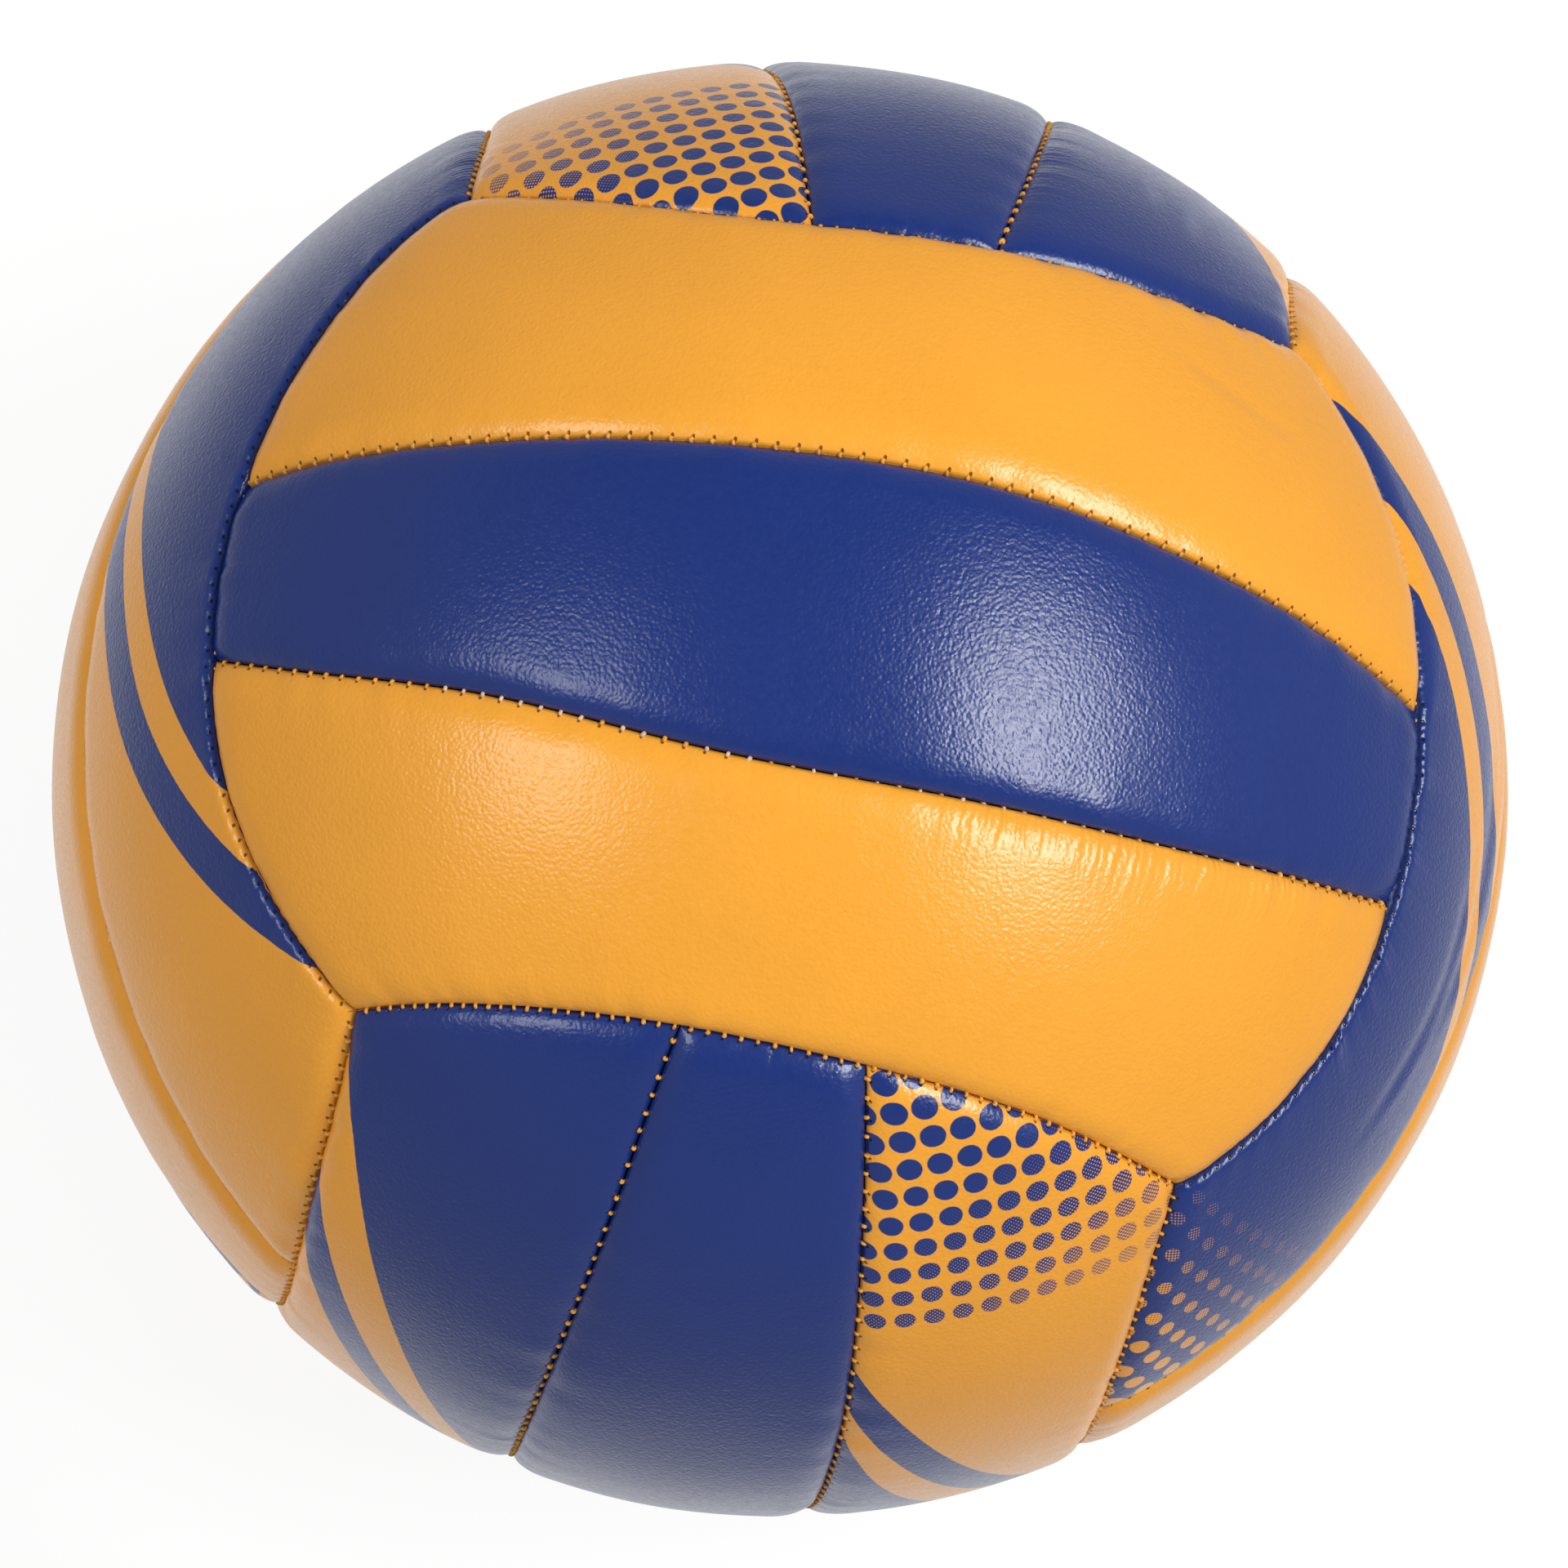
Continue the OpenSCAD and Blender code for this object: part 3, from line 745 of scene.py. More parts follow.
# Half the depth in mm of the hollows in a pad's outer face
PAD_DENT = 0.06


def make_foam(name, plan, sizes, material):
    """One foam pad: it fills its skin, thins to its sewn edge and lies on the bladder."""
    axis, far, row, _ = PANELS[name]
    outer = row != 0
    radius = sizes.diameter / 2 / MM
    wall = radius - (sizes.skin_thickness + sizes.pad_thickness) / MM
    n, m = PAD_CELLS
    grid = panel_grid(plan, outer, radius, PAD_CELLS, PAD_ZONES, PAD_INSET)
    directions = panel_direction(plan, outer, grid[0], grid[1])
    roll = sizes.roll_width / MM + PAD_ROLL
    full = radius - sizes.skin_thickness / MM - PAD_GAP - wall
    end_d, side_d = grid[2] - PAD_INSET + PAD_START, grid[3] - PAD_INSET + PAD_START
    thick = full * np.clip(rise(end_d, roll) * rise(side_d, roll), 0.12, 1)
    dents = 1 + waves(directions * LAYOUT, 9, 41)
    thick -= PAD_DENT * dents * np.clip(np.minimum(end_d, side_d) / 2, 0, 1)
    top = directions * (wall + np.clip(thick, PAD_EDGE, full))[..., None]
    low = directions * (wall + PAD_LIFT)
    points = np.concatenate([top.reshape(-1, 3), low.reshape(-1, 3)])
    size = (n + 1) * (m + 1)
    faces = grid_quads(n, m, False).tolist() + (grid_quads(n, m, True) + size).tolist()
    ring = [i * (m + 1) + j for i, j in grid_ring(n, m)]
    for k in range(len(ring)):
        q = (k + 1) % len(ring)
        faces.append([ring[k], ring[k] + size, ring[q] + size, ring[q]])
    points = swayed(to_face(points, axis, far, row))
    if row < 0:
        faces = [f[::-1] for f in faces]
    return new_mesh_object("Foam_" + name, points, faces, material)


# Heights along Y, in metres, between which the valve's hole is cut
BORE_SPAN = (0.09, 0.12)


def bore_hole(obj, diameter):
    """Cuts the round hole for the valve through a piece, along Y."""
    mesh = bpy.data.meshes.new("bore")
    count = 72
    low, high = BORE_SPAN
    angle = np.linspace(0, 2 * math.pi, count, endpoint=False)
    ring = np.stack([np.cos(angle), 0 * angle, np.sin(angle)], 1) * diameter / 2
    points = np.concatenate([ring + (0, low, 0), ring + (0, high, 0)])
    faces = [list(range(count)), list(range(2 * count - 1, count - 1, -1))]
    faces += [[k, k + count, (k + 1) % count + count, (k + 1) % count] for k in range(count)]
    mesh.from_pydata(points.tolist(), [], faces)
    mesh.update()
    tool = bpy.data.objects.new("bore", mesh)
    bpy.context.scene.collection.objects.link(tool)
    cut = obj.modifiers.new("bore", "BOOLEAN")
    cut.operation, cut.solver, cut.object = "DIFFERENCE", "EXACT", tool
    bpy.context.view_layer.update()
    ready = obj.evaluated_get(bpy.context.evaluated_depsgraph_get())
    made = bpy.data.meshes.new_from_object(ready)
    obj.modifiers.remove(cut)
    obj.data = made
    bpy.data.objects.remove(tool)
    if len(made.polygons) < 100:
        raise RuntimeError(f"the valve hole emptied {obj.name}")


def add_node(tree, kind, inputs=None, **choices):
    """Adds a node, sets its choices, and links or sets its inputs by name or number. A node given
    as an input stands for its first output."""
    node = tree.nodes.new(kind)
    for key, value in choices.items():
        setattr(node, key, value)
    for key, value in (inputs or {}).items():
        if isinstance(value, bpy.types.Node):
            value = value.outputs[0]
        if isinstance(value, bpy.types.NodeSocket):
            tree.links.new(value, node.inputs[key])
        else:
            node.inputs[key].default_value = value
    return node


def blank_material(name):
    material = bpy.data.materials.new(name)
    material.use_nodes = True
    material.node_tree.nodes.clear()
    return material, material.node_tree


def print_mask(tree):
    """Where a panel is printed: stripes from three lines, and dots that break up into a mesh."""
    bands = add_node(tree, "ShaderNodeAttribute", attribute_name="bands")
    place = add_node(tree, "ShaderNodeTexCoord")
    ragged = add_node(tree, "ShaderNodeTexNoise", {
        "Vector": place.outputs["Object"], "Scale": 900.0})
    shake = add_node(tree, "ShaderNodeMapRange", {
        "Value": ragged.outputs["Fac"], "To Min": -0.09, "To Max": 0.09})
    lines = add_node(tree, "ShaderNodeSeparateXYZ", {0: bands.outputs["Vector"]})
    past = []
    for k in range(3):
        shaken = add_node(tree, "ShaderNodeMath", {0: lines.outputs[k], 1: shake}, operation="ADD")
        past.append(add_node(tree, "ShaderNodeMapRange", {
            "Value": shaken, "From Min": -0.06, "From Max": 0.06}))
    below = add_node(tree, "ShaderNodeMath", {0: 1.0, 1: past[0]}, operation="SUBTRACT")
    strip = add_node(tree, "ShaderNodeMath", {0: past[1], 1: past[2]}, operation="SUBTRACT")
    stripes = add_node(tree, "ShaderNodeMath", {0: below, 1: strip}, operation="MAXIMUM",
                       use_clamp=True)

    dots = add_node(tree, "ShaderNodeAttribute", attribute_name="dots")
    cells = add_node(tree, "ShaderNodeVectorMath", {0: dots.outputs["Vector"], 1: (0.5, 0.5, 0)},
                     operation="ADD")
    part = add_node(tree, "ShaderNodeVectorMath", {0: cells}, operation="FRACTION")
    centred = add_node(tree, "ShaderNodeVectorMath", {0: part, 1: (0.5, 0.5, 0)},
                       operation="SUBTRACT")
    flat = add_node(tree, "ShaderNodeVectorMath", {0: centred, 1: (*DOT_PITCH, 0)},
                    operation="MULTIPLY")
    reach = add_node(tree, "ShaderNodeVectorMath", {0: flat}, operation="LENGTH")
    size = add_node(tree, "ShaderNodeSeparateXYZ", {0: dots.outputs["Vector"]})
    grown = add_node(tree, "ShaderNodeMath", {0: size.outputs[2], 1: shake}, operation="ADD")
    inside = add_node(tree, "ShaderNodeMath", {0: grown, 1: reach.outputs["Value"]},
                      operation="SUBTRACT")
    disc = add_node(tree, "ShaderNodeMapRange", {
        "Value": inside, "From Min": -0.07, "From Max": 0.07})

    # A fading dot breaks up into a fine mesh, and its ink thins out
    ink = add_node(tree, "ShaderNodeAttribute", attribute_name="ink")
    turns = [2 * math.pi * pitch / MESH_PITCH for pitch in DOT_PITCH]
    mesh = add_node(tree, "ShaderNodeVectorMath", {0: dots.outputs["Vector"], 1: (*turns, 0)},
                    operation="MULTIPLY")
    swing = add_node(tree, "ShaderNodeVectorMath", {0: mesh}, operation="SINE")
    weave = add_node(tree, "ShaderNodeSeparateXYZ", {0: swing})
    cross = add_node(tree, "ShaderNodeMath", {0: weave, 1: weave.outputs[1]}, operation="MULTIPLY")
    wanted = add_node(tree, "ShaderNodeMapRange", {
        "Value": ink.outputs["Fac"], "To Min": -0.75, "To Max": 1.2})
    spare = add_node(tree, "ShaderNodeMath", {0: wanted, 1: cross}, operation="SUBTRACT")
    threads = add_node(tree, "ShaderNodeMapRange", {
        "Value": spare, "From Min": -0.2, "From Max": 0.2})
    full = add_node(tree, "ShaderNodeMapRange", {
        "Value": ink.outputs["Fac"], "From Max": 0.6, "To Min": 0.4})
    inked = add_node(tree, "ShaderNodeMath", {0: threads, 1: full}, operation="MULTIPLY")
    spots = add_node(tree, "ShaderNodeMath", {0: disc, 1: inked}, operation="MULTIPLY")
    return add_node(tree, "ShaderNodeMath", {0: stripes, 1: spots}, operation="MAXIMUM",
                    use_clamp=True)


# A needle hole's distance from the seam, and the radii within which it is open and past which it
# is closed, in mm
HOLE_PLACE, HOLE_OPEN, HOLE_CLOSED = 0.52, 0.12, 0.28


def needle_holes(tree, layer, pitch):
    """Round needle holes beside a seam, 1 in a hole and 0 outside it."""
    sewing = add_node(tree, "ShaderNodeAttribute", attribute_name=layer)
    parts = add_node(tree, "ShaderNodeSeparateXYZ", {0: sewing.outputs["Vector"]})
    shifted = add_node(tree, "ShaderNodeMath", {0: parts, 1: 0.5}, operation="ADD")
    share = add_node(tree, "ShaderNodeMath", {0: shifted}, operation="FRACT")
    along = add_node(tree, "ShaderNodeMath", {0: share, 1: 0.5}, operation="SUBTRACT")
    run = add_node(tree, "ShaderNodeMath", {0: along, 1: pitch}, operation="MULTIPLY")
    off = add_node(tree, "ShaderNodeMath", {0: parts.outputs[1], 1: HOLE_PLACE},
                   operation="SUBTRACT")
    spot = add_node(tree, "ShaderNodeCombineXYZ", {0: run, 1: off})
    away = add_node(tree, "ShaderNodeVectorMath", {0: spot}, operation="LENGTH")
    return add_node(tree, "ShaderNodeMapRange", {
        "Value": away.outputs["Value"], "From Min": HOLE_OPEN, "From Max": HOLE_CLOSED,
        "To Min": 1.0, "To Max": 0.0})


def fine_creases(tree, layer, place):
    """Height of the fine creases that run in from a gathered edge: two to a stitch, and bent by
    noise of about 4 mm."""
    sewing = add_node(tree, "ShaderNodeAttribute", attribute_name=layer)
    parts = add_node(tree, "ShaderNodeSeparateXYZ", {0: sewing.outputs["Vector"]})
    stray = add_node(tree, "ShaderNodeTexNoise", {"Vector": place, "Scale": 240.0, "Detail": 1.0})
    bend = add_node(tree, "ShaderNodeMath", {0: stray.outputs["Fac"], 1: 9.0}, operation="MULTIPLY")
    turn = add_node(tree, "ShaderNodeMath", {
        0: parts, 1: 4 * math.pi, 2: bend}, operation="MULTIPLY_ADD")
    wave = add_node(tree, "ShaderNodeMath", {0: turn}, operation="SINE")
    return add_node(tree, "ShaderNodeMath", {0: wave, 1: parts.outputs[2]}, operation="MULTIPLY")


# Inputs of a Mix node between colours, and its output
MIX_FACTOR, MIX_A, MIX_B, MIX_RESULT = 0, 6, 7, 2


def skin_material(name, base, ink, stitches, printed):
    """Cast and embossed polyurethane leather: an even colour under a fine pebbled grain, which
    breaks up the lamps' reflections and lies flatter where the edge is drawn tight. Shade is
    painted into the colour beside the seam groove and in the needle holes."""
    material, tree = blank_material(name)
    place = add_node(tree, "ShaderNodeTexCoord").outputs["Object"]
    edge = add_node(tree, "ShaderNodeAttribute", attribute_name="edge").outputs["Fac"]

    # Uneven dye: patches of about 25 mm and mottling of about 1 mm
    patches = add_node(tree, "ShaderNodeTexNoise", {"Vector": place, "Scale": 40.0, "Detail": 2.0})
    mottle = add_node(tree, "ShaderNodeTexNoise", {"Vector": place, "Scale": 900.0, "Detail": 2.0})
    tone = add_node(tree, "ShaderNodeMapRange", {
        "Value": patches.outputs["Fac"], "From Min": 0.3, "From Max": 0.7,
        "To Min": 0.97, "To Max": 1.03})
    fleck = add_node(tree, "ShaderNodeMapRange", {
        "Value": mottle.outputs["Fac"], "From Min": 0.3, "From Max": 0.7,
        "To Min": 0.985, "To Max": 1.015})
    shade = add_node(tree, "ShaderNodeMath", {0: tone, 1: fleck}, operation="MULTIPLY")
    colour = base
    if printed:
        colour = add_node(tree, "ShaderNodeMix", {
            MIX_FACTOR: print_mask(tree), MIX_A: (*base, 1), MIX_B: (*ink, 1)},
            data_type="RGBA").outputs[MIX_RESULT]
    shaded = add_node(tree, "ShaderNodeVectorMath", {0: colour, "Scale": shade}, operation="SCALE")

    # Painted shade: the colour darkens towards the seam groove and in the needle holes
    painted_groove_shade = add_node(tree, "ShaderNodeMapRange", {
        "Value": edge, "From Min": 0.1, "From Max": 0.5, "To Min": 0.55, "To Max": 1.0})
    holes = [
        needle_holes(tree, "side_sewing", stitches.strip_pitch / MM),
        needle_holes(tree, "end_sewing", stitches.side_pitch / MM),
    ]
    hole = add_node(tree, "ShaderNodeMath", {0: holes[0], 1: holes[1]}, operation="MAXIMUM")
    # Painted shade in the needle holes, down to a fifth of the colour
    painted_hole_shade = add_node(tree, "ShaderNodeMapRange", {"Value": hole, "To Min": 1.0, "To Max": 0.2})
    painted_shade = add_node(tree, "ShaderNodeMath", {0: painted_groove_shade, 1: painted_hole_shade}, operation="MULTIPLY")
    # The painted shade of groove and holes darkens the dyed colour
    dyed = add_node(tree, "ShaderNodeVectorMath", {0: shaded, "Scale": painted_shade}, operation="SCALE")

    # Grain: pebbles of about 0.5 mm, with finer wrinkles on them, pulled flat on the roll
    pebbles = add_node(tree, "ShaderNodeTexVoronoi", {"Vector": place, "Scale": 1700.0},
                       feature="SMOOTH_F1")
    pebbles.inputs["Smoothness"].default_value = 0.5
    wrinkles = add_node(tree, "ShaderNodeTexNoise", {
        "Vector": place, "Scale": 1850.0, "Detail": 0.6, "Distortion": 0.3})
    hills = add_node(tree, "ShaderNodeMath", {0: pebbles.outputs["Distance"], 1: 0.9},
                     operation="MULTIPLY")
    pebbled = add_node(tree, "ShaderNodeMath", {0: wrinkles.outputs["Fac"], 1: hills},
                       operation="SUBTRACT")
    slack = add_node(tree, "ShaderNodeMapRange", {
        "Value": edge, "From Min": 1.0, "From Max": 6.0, "To Min": 0.75, "To Max": 1.0})
    grain = add_node(tree, "ShaderNodeMath", {0: pebbled, 1: slack}, operation="MULTIPLY")

    # The holes are sunk into it, and fine creases run across it
    sunk = add_node(tree, "ShaderNodeMath", {0: hole, 1: -5.0}, operation="MULTIPLY")
    surface = add_node(tree, "ShaderNodeMath", {0: grain, 1: sunk}, operation="ADD")
    for layer in ("side_sewing", "end_sewing"):
        surface = add_node(tree, "ShaderNodeMath", {
            0: fine_creases(tree, layer, place), 1: 1.2, 2: surface},
            operation="MULTIPLY_ADD")
    bump = add_node(tree, "ShaderNodeBump", {
        "Height": surface, "Strength": 1.0, "Distance": 0.000052})

    # The coating's gloss is a little uneven, as its dye is
    rough = add_node(tree, "ShaderNodeMapRange", {
        "Value": mottle.outputs["Fac"], "From Min": 0.3, "From Max": 0.7,
        "To Min": 0.25, "To Max": 0.31})
    shader = add_node(tree, "ShaderNodeBsdfPrincipled", {
        "Base Color": dyed, "Roughness": rough, "Normal": bump, "IOR": 1.6})
    add_node(tree, "ShaderNodeOutputMaterial", {"Surface": shader})
    return material


def plain_material(name, colour, roughness, grain, depth, patch_scale=120.0):
    """A moulded or foamed finish: an even colour with slight patches, and a grain whose size and
    depth are given in millimetres."""
    material, tree = blank_material(name)
    place = add_node(tree, "ShaderNodeTexCoord").outputs["Object"]
    patches = add_node(tree, "ShaderNodeTexNoise", {
        "Vector": place, "Scale": patch_scale, "Detail": 3.0})
    tone = add_node(tree, "ShaderNodeMapRange", {
        "Value": patches.outputs["Fac"], "From Min": 0.3, "From Max": 0.7,
        "To Min": 0.88, "To Max": 1.12})
    dyed = add_node(tree, "ShaderNodeVectorMath", {0: colour, "Scale": tone}, operation="SCALE")
    pores = add_node(tree, "ShaderNodeTexVoronoi", {"Vector": place, "Scale": 1 / (grain * MM)})
    fine = add_node(tree, "ShaderNodeTexNoise", {
        "Vector": place, "Scale": 2 / (grain * MM), "Detail": 2.0})
    height = add_node(tree, "ShaderNodeMath", {
        0: pores.outputs["Distance"], 1: fine.outputs["Fac"]}, operation="ADD")
    bump = add_node(tree, "ShaderNodeBump", {
        "Height": height, "Strength": 1.0, "Distance": depth * MM})
    gloss = add_node(tree, "ShaderNodeMapRange", {
        "Value": fine.outputs["Fac"], "From Min": 0.3, "From Max": 0.7,
        "To Min": roughness - 0.06, "To Max": roughness + 0.06})
    shader = add_node(tree, "ShaderNodeBsdfPrincipled", {
        "Base Color": dyed, "Roughness": gloss, "Normal": bump})
    add_node(tree, "ShaderNodeOutputMaterial", {"Surface": shader})
    return material


def thread_material(name, colour):
    """Twisted polyester sewing thread: matt, with fine dark lines between its plies, where shade is
    painted into the colour, and pale where glue covers it."""
    material, tree = blank_material(name)
    place = add_node(tree, "ShaderNodeTexCoord").outputs["Object"]
    twist = add_node(tree, "ShaderNodeTexNoise", {"Vector": place, "Scale": 3200.0, "Detail": 2.0})
    patches = add_node(tree, "ShaderNodeTexNoise", {"Vector": place, "Scale": 260.0})
    # Painted shade: the colour darkens where the twist's bump lies low, between the plies
    tone = add_node(tree, "ShaderNodeMapRange", {
        "Value": twist.outputs["Fac"], "From Min": 0.35, "From Max": 0.65,
        "To Min": 0.78, "To Max": 1.12})
    slow = add_node(tree, "ShaderNodeMapRange", {
        "Value": patches.outputs["Fac"], "From Min": 0.3, "From Max": 0.7,
        "To Min": 0.8, "To Max": 1.12})
    both = add_node(tree, "ShaderNodeMath", {0: tone, 1: slow}, operation="MULTIPLY")
    pale = add_node(tree, "ShaderNodeAttribute", attribute_name="pale").outputs["Fac"]
    mixed = add_node(tree, "ShaderNodeMix", {
        MIX_FACTOR: pale, MIX_A: (*colour, 1), MIX_B: (*linear("E9D9C4"), 1)},
        data_type="RGBA").outputs[MIX_RESULT]
    dyed = add_node(tree, "ShaderNodeVectorMath", {0: mixed, "Scale": both}, operation="SCALE")
    bump = add_node(tree, "ShaderNodeBump", {
        "Height": twist.outputs["Fac"], "Strength": 1.0, "Distance": 0.00008})
    shader = add_node(tree, "ShaderNodeBsdfPrincipled", {
        "Base Color": dyed, "Roughness": 0.62, "Normal": bump})
    add_node(tree, "ShaderNodeOutputMaterial", {"Surface": shader})
    return material


def seam_points(plan, sizes, stitches):
    """Places of all stitches in mm, with the way to the needle hole and how pale each is."""
    radius = sizes.diameter / 2 / MM
    roll = sizes.roll_width / MM
    # The stitches lie on the rolled edges, about half-way to their needle holes
    halfway = np.array(0.55 * stitches.reach / MM)
    seat = radius - sizes.seam_depth / MM * (1 - rise(halfway, roll))
    kinds = list(zip(("strip", "side"), stitch_counts(plan, sizes, stitches)))
    places, sideways, pale = [], [], []
    for axis, far, row, (kind, (count, part)) in itertools.product(
            range(3), (False, True), (1, -1), kinds):
        share = np.arange(-count, count + 1) / count
        if kind == "strip":
            line = strip_seam(plan, 1, share * part)
            towards = np.array((0, math.cos(plan.strip), -math.sin(plan.strip)))
        else:
            # The next face's ends lie outside this long side
            line = long_side(plan, share * part)
            pole = np.array((0, math.cos(plan.lean), math.sin(plan.lean)))
            towards = unit(pole - line * (line @ pole)[:, None])
            towards = -towards if axis == 1 else towards
        ends = to_face(np.stack([line, line + towards / radius]) * radius, axis, far, row)
        ends = unit(swayed(ends))
        sunk, pallor = np.zeros(share.shape), np.zeros(share.shape)
        if (axis, far, row) == PANELS[GLUED][:3] and kind == "strip":
            pale_from, sunk_from, stop = GLUED_SHARES
            loose = waves(ends[0] * LAYOUT, 7, 8) < 0.2
            sunk = (GLUED_SUNK + LOOSE_SUNK * loose) * ((share > sunk_from) & (share < stop))
            covered = (share > pale_from) & (share < stop)
            pallor = PALE * (covered & (waves(ends[0] * LAYOUT, 9, 3) > -0.5))
        if kind == "side" and (axis, row) in HIDDEN_SEWING:
            sunk += HIDDEN_SUNK[axis > 0]
        places.append(ends[0] * (seat - sunk)[:, None])
        sideways.append(unit(ends[1] - ends[0]))
        pale.append(pallor)
    return np.concatenate(places), np.concatenate(sideways), np.concatenate(pale)


def stitch_tree(material):
    """Geometry nodes: one bowed stitch of thread on each point, turned to its seam."""
    tree = bpy.data.node_groups.new("Seam stitches", "GeometryNodeTree")
    face = tree.interface
    face.new_socket("Geometry", in_out="INPUT", socket_type="NodeSocketGeometry")
    for label, value in (
        ("Thread radius", 0.0003), ("Hole side", 0.0009), ("Far side", 0.0004), ("Bow", 0.0004),
        ("Lift", 0.0003), ("Sink", 0.0004),
    ):
        face.new_socket(label, in_out="INPUT", socket_type="NodeSocketFloat").default_value = value
    face.new_socket("Seed", in_out="INPUT", socket_type="NodeSocketInt").default_value = 1
    face.new_socket("Geometry", in_out="OUTPUT", socket_type="NodeSocketGeometry")
    given = add_node(tree, "NodeGroupInput").outputs
    back = add_node(tree, "ShaderNodeMath", {0: given["Far side"], 1: -1.0}, operation="MULTIPLY")
    down = add_node(tree, "ShaderNodeMath", {0: given["Sink"], 1: -1.0}, operation="MULTIPLY")
    half_bow = add_node(tree, "ShaderNodeMath", {0: given["Bow"], 1: 0.5}, operation="MULTIPLY")
    start = add_node(tree, "ShaderNodeCombineXYZ", {0: given["Hole side"], 2: down})
    rise_to = add_node(tree, "ShaderNodeCombineXYZ", {
        0: given["Hole side"], 1: given["Bow"], 2: given["Lift"]})
    over = add_node(tree, "ShaderNodeCombineXYZ", {1: given["Bow"], 2: given["Lift"]})
    end = add_node(tree, "ShaderNodeCombineXYZ", {0: back, 1: half_bow, 2: down})
    path = add_node(tree, "GeometryNodeCurvePrimitiveBezierSegment", {
        "Resolution": 6, "Start": start, "Start Handle": rise_to, "End Handle": over, "End": end})
    ring = add_node(tree, "GeometryNodeCurvePrimitiveCircle", {
        "Resolution": 6, "Radius": given["Thread radius"]})
    thread = add_node(tree, "GeometryNodeCurveToMesh", {
        "Curve": path, "Profile Curve": ring, "Fill Caps": True})

    # Every stitch stands up from the ball and points at its needle hole, a little unevenly
    where = add_node(tree, "GeometryNodeInputPosition")
    sideways = add_node(tree, "GeometryNodeInputNamedAttribute", {"Name": "sideways"},
                        data_type="FLOAT_VECTOR")
    turned = add_node(tree, "FunctionNodeAxesToRotation", {
        "Primary Axis": where, "Secondary Axis": sideways},
        primary_axis="Z", secondary_axis="X")
    twist = add_node(tree, "FunctionNodeRandomValue", {
        0: (-0.1, -0.1, -0.3), 1: (0.1, 0.1, 0.3), "Seed": given["Seed"]},
        data_type="FLOAT_VECTOR")
    askew = add_node(tree, "FunctionNodeEulerToRotation", {0: twist})
    placed = add_node(tree, "FunctionNodeRotateRotation", {
        0: turned, 1: askew}, rotation_space="LOCAL")
    spread = add_node(tree, "FunctionNodeRandomValue", {
        0: (0.85, 0.8, 0.9), 1: (1.1, 1.25, 1.12), "Seed": given["Seed"]},
        data_type="FLOAT_VECTOR")
    points = add_node(tree, "GeometryNodeMeshToPoints", {"Mesh": given["Geometry"]})
    sewn = add_node(tree, "GeometryNodeInstanceOnPoints", {
        "Points": points, "Instance": thread, "Rotation": placed, "Scale": spread})
    real = add_node(tree, "GeometryNodeRealizeInstances", {"Geometry": sewn})
    smooth = add_node(tree, "GeometryNodeSetShadeSmooth", {"Geometry": real})
    dressed = add_node(tree, "GeometryNodeSetMaterial", {"Geometry": smooth, "Material": material})
    add_node(tree, "NodeGroupOutput", {"Geometry": dressed})
    return tree


def settings():
    return bpy.context.scene.volleyball


class VOLLEYBALL_OT_skins(Operator):
    """Makes the eighteen printed and grained skins"""
    bl_idname = "volleyball.skins"
    bl_label = "Panel Skins"

    def execute(self, context):
        own = settings()
        plan = seam_plan(own.sizes)
        colours = {"orange": tuple(own.colours.orange), "blue": tuple(own.colours.blue)}
        kinds = {}
        for printed, (base, ink) in itertools.product(
                (False, True), (("orange", "blue"), ("blue", "orange"))):
            label = f"PU leather, {base}" + (" printed" if printed else "")
            kinds[base, printed] = skin_material(
                label, colours[base], colours[ink], own.stitches, printed)
        for name, (*_, base) in PANELS.items():
            material = kinds[base, name in PRINTED]
            obj = make_skin(name, plan, own.sizes, own.stitches, material)
            if name == "back_middle":
                bore_hole(obj, own.sizes.valve_hole)
            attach(obj, BODY)
            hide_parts(name + "_cover")
        return {"FINISHED"}


class VOLLEYBALL_OT_foam(Operator):
    """Makes the eighteen foam pads under the skins"""
    bl_idname = "volleyball.foam"
    bl_label = "Foam Pads"

    def execute(self, context):
        own = settings()
        plan = seam_plan(own.sizes)
        material = plain_material(
            "Cell foam with cloth back", tuple(own.colours.foam), 0.85, 0.5, 0.12)
        for name in PANELS:
            obj = make_foam(name, plan, own.sizes, material)
            if name == "back_middle":
                bore_hole(obj, own.sizes.valve_hole)
            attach(obj, BODY)
            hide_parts(name + "_pad")
        return {"FINISHED"}


class VOLLEYBALL_OT_stitches(Operator):
    """Sews every seam with single stitches"""
    bl_idname = "volleyball.stitches"
    bl_label = "Seam Stitches"

    def execute(self, context):
        own = settings()
        plan = seam_plan(own.sizes)
        material = thread_material("Polyester thread", tuple(own.colours.thread))
        places, sideways, pale = seam_points(plan, own.sizes, own.stitches)
        obj = new_mesh_object("Seam_stitches", places, [], material,
                              {"sideways": sideways, "pale": pale})
        tree = stitch_tree(material)
        modifier = obj.modifiers.new("stitches", "NODES")
        modifier.node_group = tree
        names = {i.name: i.identifier for i in tree.interface.items_tree if i.in_out == "INPUT"}
        thread = own.stitches.thread
        reach = own.stitches.reach
        for label, value in (
            ("Thread radius", thread / 2), ("Hole side", reach), ("Far side", reach * 0.35),
            ("Bow", thread * 0.6), ("Lift", thread * 0.75), ("Sink", thread * 0.8),
            ("Seed", own.stitches.seed),
        ):
            modifier[names[label]] = value
        bpy.context.view_layer.update()
        ready = obj.evaluated_get(bpy.context.evaluated_depsgraph_get())
        made = bpy.data.meshes.new_from_object(ready)
        obj.modifiers.remove(modifier)
        obj.data = made
        if len(made.polygons) < len(places) * 10:
            raise RuntimeError("the stitches came out empty")
        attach(obj, BODY)
        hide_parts("seam_thread")
        return {"FINISHED"}


